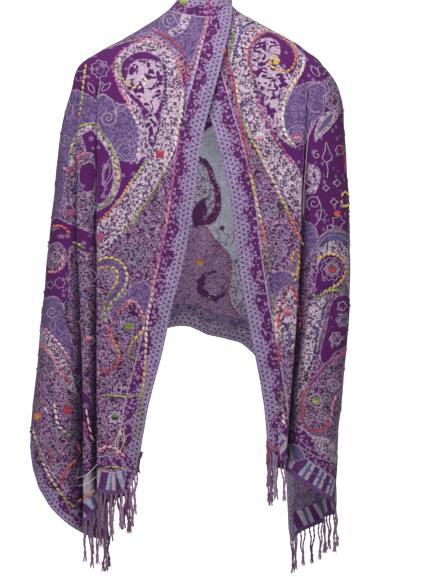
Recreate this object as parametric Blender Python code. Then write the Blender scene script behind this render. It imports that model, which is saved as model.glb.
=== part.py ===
"""A long rectangular shawl, worn over the shoulders with both ends hanging in front.

The cloth is one woven rectangle. It is modelled as three stretches, each a thin wall:
the left front, the back with the shoulders, and the right front. Left and right are
those of a viewer who faces the shawl. Each short end carries a strip of knotted fringe.
Metres, +Z up, the front faces -Y. The origin lies between the shoulders, where the
wearer carries the cloth.
"""

import math

import bpy
import numpy as np

# The cut of the cloth and its fringe.
WALL = 0.0011
SEAM_GAP = 0.0003

# The fringe: its strip and strands. A strand's form is, at shares of its length, half
# its width.
FRINGE_DROP = 0.072
FRINGE_GAP = 0.0005
STRIP_DROP = 0.003
STRAND_PITCH = 0.0085
STRAND_ROOT = 0.0022
STRAND_CLEAR = 0.0045
STRAND_SWAY = 0.0014
STRAND_FORM = ((0.30, 0.0009), (0.80, 0.0008), (0.89, 0.0015), (1.00, 0.0011))

# How finely the solids follow the form.
ROWS = 24
LEVELS = 90
OUTLINE_STEPS = 240

# The hollow that the worn cloth keeps, ring by ring from the collar down. Heights are
# those of the ring's side, front and back, and the widths are measured from x = 0, y = 0.
RING_COLUMNS = ("side_z", "front_z", "back_z", "left", "right", "front", "back", "square")
RINGS = (
    (0.130, 0.118, 0.136, 0.045, 0.036, 0.047, 0.046, 2.0),
    (0.102, 0.086, 0.106, 0.068, 0.056, 0.056, 0.054, 2.0),
    (0.072, 0.036, 0.060, 0.112, 0.104, 0.074, 0.071, 2.0),
    (0.041, -0.026, -0.004, 0.166, 0.158, 0.093, 0.088, 2.1),
    (0.005, -0.094, -0.078, 0.225, 0.203, 0.111, 0.104, 2.3),
    (-0.046, -0.152, -0.142, 0.243, 0.235, 0.121, 0.115, 2.5),
    (-0.125, -0.215, -0.210, 0.261, 0.243, 0.127, 0.121, 2.6),
    (-0.260, -0.305, -0.305, 0.275, 0.251, 0.129, 0.125, 2.6),
    (-0.400, -0.412, -0.415, 0.289, 0.252, 0.128, 0.128, 2.6),
    (-0.530, -0.533, -0.535, 0.301, 0.243, 0.125, 0.129, 2.6),
    (-0.660, -0.660, -0.660, 0.313, 0.231, 0.121, 0.125, 2.5),
    (-0.780, -0.780, -0.780, 0.304, 0.228, 0.118, 0.117, 2.4),
    (-0.900, -0.900, -0.900, 0.298, 0.226, 0.116, 0.110, 2.4),
)

# Where the two long front edges and the fold lines run, as x at each height. The left
# edge lies over the right one at the throat and parts from it below the chest.
LINE_COLUMNS = ("z", "left_edge", "right_edge", "left_fold", "left_roll", "right_fold", "right_roll")
LINES = (
    (0.140, 0.038, -0.024, -0.189, -0.233, 0.172, 0.200),
    (0.065, 0.041, -0.026, -0.189, -0.233, 0.172, 0.200),
    (0.014, 0.030, -0.022, -0.189, -0.233, 0.172, 0.200),
    (-0.031, 0.019, -0.014, -0.189, -0.233, 0.172, 0.200),
    (-0.075, 0.007, -0.002, -0.189, -0.233, 0.172, 0.200),
    (-0.131, -0.007, 0.014, -0.189, -0.233, 0.170, 0.198),
    (-0.230, -0.020, 0.038, -0.189, -0.233, 0.164, 0.192),
    (-0.354, -0.041, 0.054, -0.189, -0.230, 0.159, 0.187),
    (-0.423, -0.059, 0.065, -0.189, -0.226, 0.155, 0.183),
    (-0.510, -0.078, 0.082, -0.189, -0.222, 0.149, 0.176),
    (-0.581, -0.097, 0.095, -0.189, -0.220, 0.143, 0.170),
    (-0.650, -0.110, 0.102, -0.189, -0.220, 0.138, 0.166),
    (-0.720, -0.119, 0.108, -0.189, -0.221, 0.137, 0.165),
    (-0.900, -0.126, 0.116, -0.189, -0.222, 0.137, 0.165),
)

# How the two lapped folds of each front grow from the shoulder down: how far the cloth
# runs back under the fold, how deep it goes, and how far it lies behind the panel.
FOLD_COLUMNS = ("z", "lap", "deep", "set_back", "ripple")
LEFT_FOLDS = (
    (-0.070, 0.000, 0.000, 0.000, 0.000),
    (-0.130, 0.004, 0.010, 0.003, 0.002),
    (-0.220, 0.014, 0.030, 0.006, 0.006),
    (-0.360, 0.024, 0.050, 0.009, 0.012),
    (-0.520, 0.034, 0.068, 0.011, 0.017),
    (-0.700, 0.042, 0.084, 0.013, 0.021),
    (-0.900, 0.046, 0.090, 0.014, 0.022),
)
RIGHT_FOLDS = (
    (-0.080, 0.000, 0.000, 0.000, 0.000),
    (-0.150, 0.005, 0.014, 0.002, 0.002),
    (-0.240, 0.012, 0.034, 0.004, 0.006),
    (-0.360, 0.018, 0.056, 0.006, 0.012),
    (-0.520, 0.020, 0.072, 0.007, 0.017),
    (-0.700, 0.019, 0.080, 0.008, 0.021),
    (-0.900, 0.018, 0.082, 0.008, 0.022),
)

# The points that the cloth runs through at every height, from the front edge round to
# the middle of the back. A zone runs between two lines, and "along" is the share of it.
# In the zones "fold" and "roll_fold", "along" counts laps from the fold line, and "rest"
# is where the point lies before the fold opens, in steps from that line. "in" is
# the share of the fold's depth, or of the ripple's in the zone "wrap". "hem_z" is the
# height at which the cloth ends there, and "cuts" how many faces lead to the next point.
KEY_COLUMNS = ("name", "zone", "along", "rest", "in", "hem_z", "cuts")
LEFT_KEYS = (
    ("edge", "face", 0.00, 0.0, 0.00, -0.704, 2),
    ("band", "face", 0.22, 0.0, 0.00, -0.738, 2),
    ("face", "face", 0.60, 0.0, 0.00, -0.744, 2),
    ("face_side", "face", 0.88, 0.0, -0.02, -0.741, 1),
    ("crest", "fold", 0.00, 0.0, 0.02, -0.739, 1),
    ("under", "fold", -0.25, 0.5, 0.14, -0.741, 2),
    ("lap", "fold", -0.80, 1.0, 0.42, -0.746, 1),
    ("turn", "fold", -1.00, 1.5, 0.78, -0.752, 2),
    ("turn_back", "fold", -0.60, 2.0, 1.00, -0.758, 1),
    ("out", "fold", -0.12, 2.5, 0.70, -0.764, 1),
    ("rise", "roll", 0.22, 0.0, 0.26, -0.772, 1),
    ("roll", "roll", 0.58, 0.0, 0.06, -0.788, 1),
    ("roll_crest", "roll_fold", 0.00, 0.0, 0.08, -0.801, 1),
    ("roll_under", "roll_fold", -0.22, 0.5, 0.22, -0.806, 2),
    ("roll_lap", "roll_fold", -0.52, 1.0, 0.50, -0.814, 1),
    ("roll_turn", "roll_fold", -0.50, 1.5, 0.86, -0.826, 2),
    ("corner", "roll_fold", -0.14, 2.0, 0.94, -0.836, 1),
    ("outer_out", "outer", 0.08, 0.0, 0.60, -0.828, 1),
    ("outer_rise", "outer", 0.30, 0.0, 0.22, -0.804, 1),
    ("outer", "outer", 0.56, 0.0, 0.05, -0.770, 1),
    ("outer_side", "outer", 0.80, 0.0, 0.00, -0.724, 2),
    ("side", "wrap", 0.00, 0.0, 0.00, -0.664, 2),
    ("side_dip", "wrap", 0.12, 0.0, 0.70, -0.640, 2),
    ("side_back", "wrap", 0.24, 0.0, -0.10, -0.616, 2),
    ("back_dip", "wrap", 0.35, 0.0, 1.00, -0.586, 2),
    ("back_ridge", "wrap", 0.47, 0.0, -0.20, -0.546, 2),
    ("blade_dip", "wrap", 0.60, 0.0, 0.60, -0.502, 2),
    ("blade", "wrap", 0.76, 0.0, -0.15, -0.470, 2),
    ("spine_side", "wrap", 0.89, 0.0, 0.10, -0.462, 1),
    ("spine", "wrap", 1.00, 0.0, 0.25, -0.478, 1),
)
RIGHT_KEYS = (
    ("edge", "face", 0.00, 0.0, 0.00, -0.652, 3),
    ("band", "face", 0.34, 0.0, 0.00, -0.676, 2),
    ("face", "face", 0.70, 0.0, 0.00, -0.686, 2),
    ("face_side", "face", 0.90, 0.0, -0.02, -0.689, 1),
    ("crest", "fold", 0.00, 0.0, 0.02, -0.690, 1),
    ("under", "fold", -0.25, 0.5, 0.14, -0.692, 2),
    ("lap", "fold", -0.90, 1.0, 0.42, -0.696, 1),
    ("turn", "fold", -1.00, 1.5, 0.78, -0.700, 2),
    ("turn_back", "fold", -0.40, 2.0, 1.00, -0.702, 1),
    ("out", "fold", 0.10, 2.5, 0.66, -0.704, 1),
    ("rise", "roll", 0.40, 0.0, 0.26, -0.708, 1),
    ("roll", "roll", 0.90, 0.0, 0.06, -0.722, 1),
    ("outer", "outer", 0.30, 0.0, 0.00, -0.745, 1),
    ("outer_face", "outer", 0.62, 0.0, -0.03, -0.764, 2),
    ("outer_side", "outer", 0.84, 0.0, 0.00, -0.778, 2),
    ("side", "wrap", 0.00, 0.0, 0.00, -0.790, 2),
    ("side_dip", "wrap", 0.12, 0.0, 0.70, -0.802, 2),
    ("side_back", "wrap", 0.24, 0.0, -0.10, -0.816, 2),
    ("back_dip", "wrap", 0.36, 0.0, 1.00, -0.834, 2),
    ("corner", "wrap", 0.46, 0.0, 0.20, -0.848, 1),
    ("edge_rise", "wrap", 0.50, 0.0, -0.10, -0.745, 1),
    ("back_ridge", "wrap", 0.55, 0.0, -0.20, -0.640, 2),
    ("blade_dip", "wrap", 0.64, 0.0, 0.60, -0.552, 2),
    ("blade", "wrap", 0.78, 0.0, -0.15, -0.500, 2),
    ("spine_side", "wrap", 0.89, 0.0, 0.10, -0.486, 1),
    ("spine", "wrap", 1.00, 0.0, 0.25, -0.478, 1),
)
SIDES = {
    "left": {"sign": -1.0, "folds": LEFT_FOLDS, "keys": LEFT_KEYS},
    "right": {"sign": 1.0, "folds": RIGHT_FOLDS, "keys": RIGHT_KEYS},
}

# A fold laps over only once it is this deep, and does so fully this much deeper. Until
# then its points lie evenly spaced.
OPEN_FROM = 0.006
OPEN_OVER = 0.014
REST_STEP = 0.0045

# The left front lies over the right one where they cross.
OVERLAP_LIFT = 0.0055
OVERLAP_TOP = -0.085
OVERLAP_FADE = 0.060
OVERLAP_REACH = 0.180

# Colours and finish of the cloth and of its fringe.
CLOTH_COLOUR = (0.145, 0.062, 0.190, 1.0)
FRINGE_COLOUR = (0.110, 0.050, 0.115, 1.0)
CLOTH_ROUGHNESS = 0.85


def table(rows, columns):
    """The rows as one array of numbers under each column's name."""
    return {name: np.array([row[i] for row in rows], float) for i, name in enumerate(columns)}


def smooth(knots, values, at):
    """A smooth curve through the values at rising knots, read at each place in "at"."""
    knots, values = np.asarray(knots, float), np.asarray(values, float)
    rise = np.diff(values) / np.diff(knots)
    slope = np.empty(len(knots))
    slope[0], slope[-1] = rise[0], rise[-1]
    before, after = np.diff(knots)[:-1], np.diff(knots)[1:]
    slope[1:-1] = (rise[:-1] * after + rise[1:] * before) / (before + after)
    at = np.clip(at, knots[0], knots[-1])
    i = np.clip(np.searchsorted(knots, at, side="right") - 1, 0, len(knots) - 2)
    step = knots[i + 1] - knots[i]
    t = (at - knots[i]) / step
    start = (1 + 2 * t) * (1 - t) ** 2 * values[i] + t * (1 - t) ** 2 * step * slope[i]
    end = t * t * (3 - 2 * t) * values[i + 1] + t * t * (t - 1) * step * slope[i + 1]
    return start + end


def ease(t):
    """0 below 0, 1 above 1, and a smooth step between."""
    t = np.clip(t, 0.0, 1.0)
    return t * t * (3 - 2 * t)


def by_height(rows, columns, name, z):
    """A table's column read at the height z, where the rows run downwards."""
    data = table(rows, columns)
    return smooth(-data["z"], data[name], -np.asarray(z, float))


def ring_at(level):
    """The ring's sizes at a level, counted in rows of RINGS."""
    rows = table(RINGS, RING_COLUMNS)
    knots = np.arange(len(RINGS), dtype=float)
    return {name: float(smooth(knots, rows[name], level)) for name in RING_COLUMNS}


def outline(ring, sign):
    """Points from beyond the middle of the front, round one side, to the middle of the back."""
    angle = np.radians(np.linspace(-165.0, 90.0, OUTLINE_STEPS))
    across, depth = np.cos(angle), np.sin(angle)
    power = 2.0 / ring["square"]
    near, far = (ring["left"], ring["right"]) if sign < 0 else (ring["right"], ring["left"])
    x = sign * np.where(across > 0, near, far) * np.sign(across) * np.abs(across) ** power
    y = np.where(depth < 0, ring["front"], ring["back"]) * np.sign(depth) * np.abs(depth) ** power
    low = np.where(depth < 0, ring["front_z"], ring["back_z"])
    z = low + (ring["side_z"] - low) * np.abs(across) ** 1.6
    return angle, np.stack([x, y, z], axis=1)


def place_on_front(front_x, arcs, reach, limit):
    """How far along the outline the front reaches the distance "reach" from the middle."""
    return float(np.interp(min(reach, limit), front_x, arcs))


def key_places(side, ring, arcs, front, z):
    """Each key's distance along the outline and its distance inwards, at one level."""
    sign, name = SIDES[side]["sign"], side
    front_x, front_arcs = front
    fold = {c: float(by_height(SIDES[side]["folds"], FOLD_COLUMNS, c, z)) for c in FOLD_COLUMNS[1:]}
    line = {c: sign * float(by_height(LINES, LINE_COLUMNS, c, z)) for c in LINE_COLUMNS[1:]}
    half = ring[name]
    start = place_on_front(front_x, front_arcs, line[name + "_edge"], half)
    crease = place_on_front(front_x, front_arcs, line[name + "_fold"], 0.80 * half)
    roll = place_on_front(front_x, front_arcs, line[name + "_roll"], 0.93 * half)
    flank, end = float(front_arcs[-1]), float(arcs[-1])
    opened = float(ease((fold["deep"] - OPEN_FROM) / OPEN_OVER))
    zones = {"face": (start, crease), "roll": (crease, roll), "outer": (roll, flank), "wrap": (flank, end)}
    along, inward = [], []
    for _, zone, share, rest, depth, _, _ in SIDES[side]["keys"]:
        if zone in zones:
            low, high = zones[zone]
            if zone in ("roll", "outer"):
                low = low + 0.25 * (high - low) * (1 - opened)
            place = low + share * (high - low)
        else:
            line_at, room = (crease, roll - crease) if zone == "fold" else (roll, flank - roll)
            flat = line_at + rest * min(REST_STEP, 0.09 * room)
            place = flat + opened * (line_at + share * fold["lap"] - flat)
        recess = {"face": 0.0, "fold": 0.0, "roll": 1.0, "roll_fold": 1.0, "outer": 1.0, "wrap": 0.0}[zone]
        if zone == "outer":
            recess = 1.0 - share
        scale = fold["ripple"] if zone == "wrap" else fold["deep"]
        along.append(place)
        inward.append(recess * fold["set_back"] + depth * scale)
    return np.array(along), np.array(inward)


def columns_of(side):
    """The key index, fractional, of every column of faces."""
    cuts = [row[-1] for row in SIDES[side]["keys"]][:-1]
    stops = [k + j / n for k, n in enumerate(cuts) for j in range(n)]
    return np.array([*stops, float(len(cuts))])


def section(side, level, columns):
    """The cloth's points at one level, one for each column."""
    sign = SIDES[side]["sign"]
    ring = ring_at(level)
    angle, points = outline(ring, sign)
    arcs = np.concatenate([[0.0], np.cumsum(np.linalg.norm(np.diff(points, axis=0), axis=1))])
    in_front = angle <= 0
    front = (sign * points[in_front, 0], arcs[in_front])
    along, inward = key_places(side, ring, arcs, front, ring["front_z"])
    chords = np.hypot(np.diff(along), np.diff(inward))
    knots = np.concatenate([[0.0], np.cumsum(np.sqrt(np.maximum(chords, 1e-6)))])
    at = np.interp(columns, np.arange(len(knots)), knots)
    along_all, inward_all = smooth(knots, along, at), smooth(knots, inward, at)
    inward_all = inward_all + overlap(side, ring, along_all - along[0])
    base = np.stack([np.interp(along_all, arcs, points[:, i]) for i in range(3)], axis=1)
    step = np.gradient(points[:, :2], axis=0)
    step /= np.linalg.norm(step, axis=1, keepdims=True)
    inner = np.stack([-step[:, 1], step[:, 0]], axis=1) * sign
    base[:, 0] += inward_all * np.interp(along_all, arcs, inner[:, 0])
    base[:, 1] += inward_all * np.interp(along_all, arcs, inner[:, 1])
    return base


def overlap(side, ring, from_edge):
    """How far a front moves in or out where the left one lies over the right one."""
    crossed = ease((ring["front_z"] - OVERLAP_TOP + OVERLAP_FADE) / OVERLAP_FADE)
    near_edge = ease((OVERLAP_REACH - from_edge) / (0.5 * OVERLAP_REACH))
    lift = -0.5 * OVERLAP_LIFT if side == "left" else OVERLAP_LIFT
    return lift * crossed * near_edge


def half_cloth(side, rows):
    """Half of the cloth as a grid of points: rows from the top to the hem, columns from
    the front edge to the middle of the back."""
    columns = columns_of(side)
    levels = np.linspace(0.0, len(RINGS) - 1.0, LEVELS)
    stack = np.stack([section(side, level, columns) for level in levels])
    keys = SIDES[side]["keys"]
    hems = smooth(np.arange(len(keys), dtype=float), [row[5] for row in keys], columns)
    grid = np.empty((rows + 1, len(columns), 3))
    for c, hem in enumerate(hems):
        line = stack[:, c]
        last = float(np.interp(-hem, -line[:, 2], levels))
        fine = np.linspace(0.0, last, 4 * rows + 1)
        path = np.stack([smooth(levels, line[:, i], fine) for i in range(3)], axis=1)
        run = np.concatenate([[0.0], np.cumsum(np.linalg.norm(np.diff(path, axis=0), axis=1))])
        even = np.linspace(0.0, run[-1], rows + 1)
        grid[:, c] = np.stack([np.interp(even, run, path[:, i]) for i in range(3)], axis=1)
    return grid


def finish(name, colour):
    """A woven cloth finish of one colour."""
    material = bpy.data.materials.new(name)
    material.use_nodes = True
    shader = material.node_tree.nodes["Principled BSDF"]
    shader.inputs["Base Color"].default_value = colour
    shader.inputs["Roughness"].default_value = CLOTH_ROUGHNESS
    shader.inputs["Metallic"].default_value = 0.0
    return material


def new_object(name, points, faces, material):
    """A mesh object made from points and faces, shaded smooth."""
    mesh = bpy.data.meshes.new(name)
    mesh.from_pydata([tuple(p) for p in points], [], faces)
    mesh.materials.append(material)
    mesh.shade_smooth()
    mesh.set_sharp_from_angle(angle=math.radians(50.0))
    made = bpy.data.objects.new(name, mesh)
    bpy.context.scene.collection.objects.link(made)
    return made


def heading(grid, axis):
    """The way the grid runs at each point: halfway between the steps on its two sides."""
    steps = np.diff(grid, axis=axis)
    steps /= np.linalg.norm(steps, axis=2, keepdims=True)
    first, last = np.take(steps, [0], axis=axis), np.take(steps, [-1], axis=axis)
    halfway = np.concatenate([first, steps], axis=axis) + np.concatenate([steps, last], axis=axis)
    return halfway / np.linalg.norm(halfway, axis=2, keepdims=True)


def whole_cloth(rows):
    """The outer and inner sides of the whole cloth. The columns run clockwise seen from
    above: from the left front edge, round the back, to the right front edge."""
    left, right = half_cloth("left", rows), half_cloth("right", rows)
    left[:, -1] = 0.5 * (left[:, -1] + right[:, -1])
    outer = np.concatenate([left, right[:, -2::-1]], axis=1)
    across = np.cross(heading(outer, 1), heading(outer, 0))
    across /= np.linalg.norm(across, axis=2, keepdims=True)
    return outer, outer - WALL * across


def closed_wall(name, outer, inner, material):
    """A closed wall between an outer and an inner grid of points."""
    rows, columns, _ = outer.shape
    count = rows * columns
    faces = []
    for r in range(rows - 1):
        for c in range(columns - 1):
            a = r * columns + c
            face = (a, a + 1, a + columns + 1, a + columns)
            faces += [face, tuple(count + v for v in reversed(face))]
    top = [c for c in range(columns)]
    right = [r * columns + columns - 1 for r in range(rows)]
    bottom = [(rows - 1) * columns + c for c in reversed(range(columns))]
    left = [r * columns for r in reversed(range(rows))]
    for rim in (top, right, bottom, left):
        for a, b in zip(rim, rim[1:]):
            faces.append((b, a, count + a, count + b))
    points = np.concatenate([outer.reshape(-1, 3), inner.reshape(-1, 3)])
    return new_object(name, points, faces, material)


def key_column(side, name):
    """The column of faces on which the named key lies."""
    names = [row[0] for row in SIDES[side]["keys"]]
    return int(np.argmin(np.abs(columns_of(side) - names.index(name))))


def pulled_from_seam(grid, first, second):
    """The grid with its column "first" moved off the seam, towards the column "second"."""
    grid = grid.copy()
    way = grid[:, second] - grid[:, first]
    grid[:, first] += SEAM_GAP * way / np.linalg.norm(way, axis=1, keepdims=True)
    return grid


def build_cloth(outer, inner, material):
    """The three stretches of the cloth, parted at the two side seams."""
    first = key_column("left", "side")
    last = outer.shape[1] - 1 - key_column("right", "side")
    for name, part in (("left_front", slice(0, first + 1)), ("right_front", slice(last, None))):
        closed_wall(name, outer[:, part], inner[:, part], material)
    back = [grid[:, first : last + 1] for grid in (outer, inner)]
    back = [pulled_from_seam(pulled_from_seam(grid, 0, 1), -1, -2) for grid in back]
    closed_wall("back", *back, material)


def strand(outer, inner, hem_way, number):
    """The rings of one strand that hangs from the strip's lower side: four points each."""
    root = np.array([outer[0], outer[1], inner[1], inner[0]])
    middle = root.mean(axis=0)
    way = np.array([hem_way[0], hem_way[1], 0.0])
    way /= max(float(np.linalg.norm(way)), 1e-9)
    depth = np.array([-way[1], way[0], 0.0])
    depth *= np.sign(float(np.dot(depth, inner[0] - outer[0]))) or 1.0
    corners = np.array([-way - depth, way - depth, way + depth, depth - way])
    length = FRINGE_DROP * (0.93 + 0.09 * math.sin(2.3 * number) + 0.05 * math.sin(5.1 * number))
    sway = STRAND_SWAY * (math.sin(1.7 * number) * way + math.sin(2.9 * number) * depth)
    rings = [root]
    for share, half in STRAND_FORM:
        centre = middle + np.array([0.0, 0.0, -length * share]) + sway * share**1.5
        rings.append(centre + half * corners)
    return rings


def build_fringe(name, hem_outer, hem_inner, above, material):
    """A narrow strip just below the hem and the strands that hang from it, as one body."""
    points, faces = [], []

    def add(new_points):
        points.extend(np.asarray(new_points))
        return list(range(len(points) - len(new_points), len(points)))

    run_way = heading(hem_outer[None], 1)[0]
    down = hem_outer - above
    down -= np.sum(down * run_way, axis=1, keepdims=True) * run_way
    down /= np.linalg.norm(down, axis=1, keepdims=True)
    stops, roots, hung = [0.0], [], []
    for c, run in enumerate(np.linalg.norm(np.diff(hem_outer, axis=0), axis=1)):
        number = max(1, round(run / STRAND_PITCH))
        for k in range(number):
            middle, half = (k + 0.5) / number, 0.5 * STRAND_ROOT / run
            spot = (hem_outer[c] + middle * (hem_outer[c + 1] - hem_outer[c]))[:2]
            if any(np.linalg.norm(spot - other) < STRAND_CLEAR for other in hung):
                continue
            hung.append(spot)
            roots.append(len(stops))
            stops += [c + middle - half, c + middle + half]
        stops.append(c + 1.0)
    columns = np.arange(len(hem_outer), dtype=float)
    at = [np.stack([np.interp(stops, columns, side[:, i]) for i in range(3)], axis=1)
          for side in (hem_outer, hem_inner, down)]
    strip = [at[0] + FRINGE_GAP * at[2], at[1] + FRINGE_GAP * at[2]]
    low = [side + STRIP_DROP * at[2] for side in strip]
    stations = [add([strip[0][i], strip[1][i], low[1][i], low[0][i]]) for i in range(len(stops))]
    for i, (a, b) in enumerate(zip(stations, stations[1:])):
        faces += [(a[0], b[0], b[3], a[3]), (b[1], a[1], a[2], b[2]), (b[0], a[0], a[1], b[1])]
        if i not in roots:
            faces.append((a[3], b[3], b[2], a[2]))
            continue
        rings = strand((low[0][i], low[0][i + 1]), (low[1][i], low[1][i + 1]),
                       low[0][i + 1] - low[0][i], roots.index(i))
        loops = [[a[3], b[3], b[2], a[2]]] + [add(ring) for ring in rings[1:]]
        for upper, lower in zip(loops, loops[1:]):
            for k in range(4):
                m = (k + 1) % 4
                faces.append((upper[k], upper[m], lower[m], lower[k]))
        faces.append(tuple(loops[-1]))
    faces += [tuple(reversed(stations[0])), tuple(stations[-1])]
    return new_object(name, points, faces, material)


def clear_scene():
    """Removes the objects that Blender starts with."""
    for found in list(bpy.data.objects):
        bpy.data.objects.remove(found, do_unlink=True)


def main():
    clear_scene()
    outer, inner = whole_cloth(ROWS)
    build_cloth(outer, inner, finish("cloth", CLOTH_COLOUR))
    yarn = finish("fringe", FRINGE_COLOUR)
    left_end = slice(0, key_column("left", "corner") + 1)
    right_end = slice(outer.shape[1] - 1 - key_column("right", "corner"), None)
    for name, end in (("fringe_left", left_end), ("fringe_right", right_end)):
        build_fringe(name, outer[-1, end], inner[-1, end], outer[-2, end], yarn)


main()
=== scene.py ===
"""The looks of a long woven shawl, worn over the shoulders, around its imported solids.

The cloth is one woven rectangle that hangs as the solids do. Its patterned face is
outside and its paler reverse inside. Thick coloured yarn is stitched over the woven
pattern, and each short end has a striped band and a knotted fringe. Left and right are
those of a viewer who faces the shawl. Metres, +Z up, the front faces -Y.
"""

import logging
import math
from dataclasses import dataclass, replace
from enum import Enum

import bpy
import numpy as np
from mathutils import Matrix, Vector
from mathutils.bvhtree import BVHTree
from mathutils.kdtree import KDTree

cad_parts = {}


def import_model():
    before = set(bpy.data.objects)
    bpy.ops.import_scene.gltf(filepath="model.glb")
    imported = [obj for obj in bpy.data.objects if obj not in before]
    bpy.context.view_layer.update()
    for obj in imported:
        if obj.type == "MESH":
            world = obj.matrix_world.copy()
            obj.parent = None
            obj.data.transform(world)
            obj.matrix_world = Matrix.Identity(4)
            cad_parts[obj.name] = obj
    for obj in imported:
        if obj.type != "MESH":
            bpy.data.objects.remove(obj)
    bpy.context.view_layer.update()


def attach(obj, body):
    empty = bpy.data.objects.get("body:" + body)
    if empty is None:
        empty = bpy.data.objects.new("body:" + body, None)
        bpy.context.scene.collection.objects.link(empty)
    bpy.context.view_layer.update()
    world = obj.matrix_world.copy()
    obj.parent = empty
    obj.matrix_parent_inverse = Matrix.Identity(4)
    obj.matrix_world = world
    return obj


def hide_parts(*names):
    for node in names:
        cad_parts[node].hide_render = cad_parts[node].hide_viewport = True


log = logging.getLogger("shawl")

# One step of the front view: the drawing of stitches and motifs is given in these, across
# and down from the upper left, and the eye looks at its middle.
STEP = 0.0017
VIEW_MIDDLE = (216.5, 288.5)
FRONT_Y = -0.12
EYE = (0.016, -2.9, -0.392)
VIEW_HEIGHT = 0.981

# How far the cloth must face the eye to be drawn on, in metres of the way to it, and for
# the sides and the back, how far it may still face the front, as a cosine.
FACING = 0.25
FRONT_LIMIT = 0.12
FRONT_FADE = 0.05
SEWN_LIMIT = -0.08


def to_linear(code: str) -> tuple[float, float, float, float]:
    """Turns a colour written as six hex digits into linear values.

    Args:
        code: the colour, such as "a99bb0".

    Returns:
        Red, green, blue and 1.0.
    """
    parts = [int(code[i : i + 2], 16) / 255.0 for i in (0, 2, 4)]
    linear = [c / 12.92 if c <= 0.04045 else ((c + 0.055) / 1.055) ** 2.4 for c in parts]
    return (linear[0], linear[1], linear[2], 1.0)


def ease(t: np.ndarray | float) -> np.ndarray | float:
    """Gives 0 below 0, 1 above 1, and a smooth step between."""
    t = np.clip(t, 0.0, 1.0)
    return t * t * (3 - 2 * t)


def smooth(knots: np.ndarray, values: np.ndarray, at: np.ndarray) -> np.ndarray:
    """Reads a smooth curve through values at rising knots.

    Args:
        knots: rising places.
        values: the curve's value at each knot.
        at: the places to read.

    Returns:
        The curve at each place.
    """
    knots, values = np.asarray(knots, float), np.asarray(values, float)
    rise = np.diff(values) / np.diff(knots)
    slope = np.empty(len(knots))
    slope[0], slope[-1] = rise[0], rise[-1]
    before, after = np.diff(knots)[:-1], np.diff(knots)[1:]
    slope[1:-1] = (rise[:-1] * after + rise[1:] * before) / (before + after)
    at = np.clip(at, knots[0], knots[-1])
    i = np.clip(np.searchsorted(knots, at, side="right") - 1, 0, len(knots) - 2)
    step = knots[i + 1] - knots[i]
    t = (at - knots[i]) / step
    start = (1 + 2 * t) * (1 - t) ** 2 * values[i] + t * (1 - t) ** 2 * step * slope[i]
    end = t * t * (3 - 2 * t) * values[i + 1] + t * t * (t - 1) * step * slope[i + 1]
    return start + end


def run_length(points: np.ndarray) -> np.ndarray:
    """Gives how far along a line each of its points is."""
    return np.concatenate([[0.0], np.cumsum(np.linalg.norm(np.diff(points, axis=0), axis=1))])


def read_line(at: np.ndarray | float, run: np.ndarray, points: np.ndarray) -> np.ndarray:
    """Reads places along a line.

    Args:
        at: how far along the places are.
        run: how far along each of the line's points is.
        points: one row for each of the line's points.

    Returns:
        One row for each place.
    """
    return np.stack([np.interp(at, run, points[:, i]) for i in range(points.shape[1])], axis=-1)


def unit(ways: np.ndarray) -> np.ndarray:
    """Gives the same ways with a length of 1, along the last axis."""
    return ways / np.maximum(np.linalg.norm(ways, axis=-1, keepdims=True), 1e-9)


def spin(points: np.ndarray, angle: float) -> np.ndarray:
    """Turns points in the plane.

    Args:
        points: their places, two in each row.
        angle: how far they turn, in radians.

    Returns:
        The turned places.
    """
    x, y = points[:, 0], points[:, 1]
    return np.stack([x * math.cos(angle) - y * math.sin(angle), x * math.sin(angle) + y * math.cos(angle)], axis=1)


def grid_quads(rows: int, columns: int) -> np.ndarray:
    """Gives the faces of a grid of points.

    Args:
        rows: its rows of points.
        columns: its columns of points.

    Returns:
        Four corners for each face.
    """
    index = np.arange(rows * columns).reshape(rows, columns)
    return np.stack([index[:-1, :-1], index[:-1, 1:], index[1:, 1:], index[1:, :-1]], axis=-1).reshape(-1, 4)


# The hollow that the worn cloth keeps, ring by ring from the collar down, where its long
# edges and fold lines run, how its folds grow, and the points that it runs through.
RING_COLUMNS = ("side_z", "front_z", "back_z", "left", "right", "front", "back", "square")
RINGS = (
    (0.130, 0.118, 0.136, 0.045, 0.036, 0.047, 0.046, 2.0),
    (0.102, 0.086, 0.106, 0.068, 0.056, 0.056, 0.054, 2.0),
    (0.072, 0.036, 0.060, 0.112, 0.104, 0.074, 0.071, 2.0),
    (0.041, -0.026, -0.004, 0.166, 0.158, 0.093, 0.088, 2.1),
    (0.005, -0.094, -0.078, 0.225, 0.203, 0.111, 0.104, 2.3),
    (-0.046, -0.152, -0.142, 0.243, 0.235, 0.121, 0.115, 2.5),
    (-0.125, -0.215, -0.210, 0.261, 0.243, 0.127, 0.121, 2.6),
    (-0.260, -0.305, -0.305, 0.275, 0.251, 0.129, 0.125, 2.6),
    (-0.400, -0.412, -0.415, 0.289, 0.252, 0.128, 0.128, 2.6),
    (-0.530, -0.533, -0.535, 0.301, 0.243, 0.125, 0.129, 2.6),
    (-0.660, -0.660, -0.660, 0.313, 0.231, 0.121, 0.125, 2.5),
    (-0.780, -0.780, -0.780, 0.304, 0.228, 0.118, 0.117, 2.4),
    (-0.900, -0.900, -0.900, 0.298, 0.226, 0.116, 0.110, 2.4),
)
LINE_COLUMNS = ("z", "left_edge", "right_edge", "left_fold", "left_roll", "right_fold", "right_roll")
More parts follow.
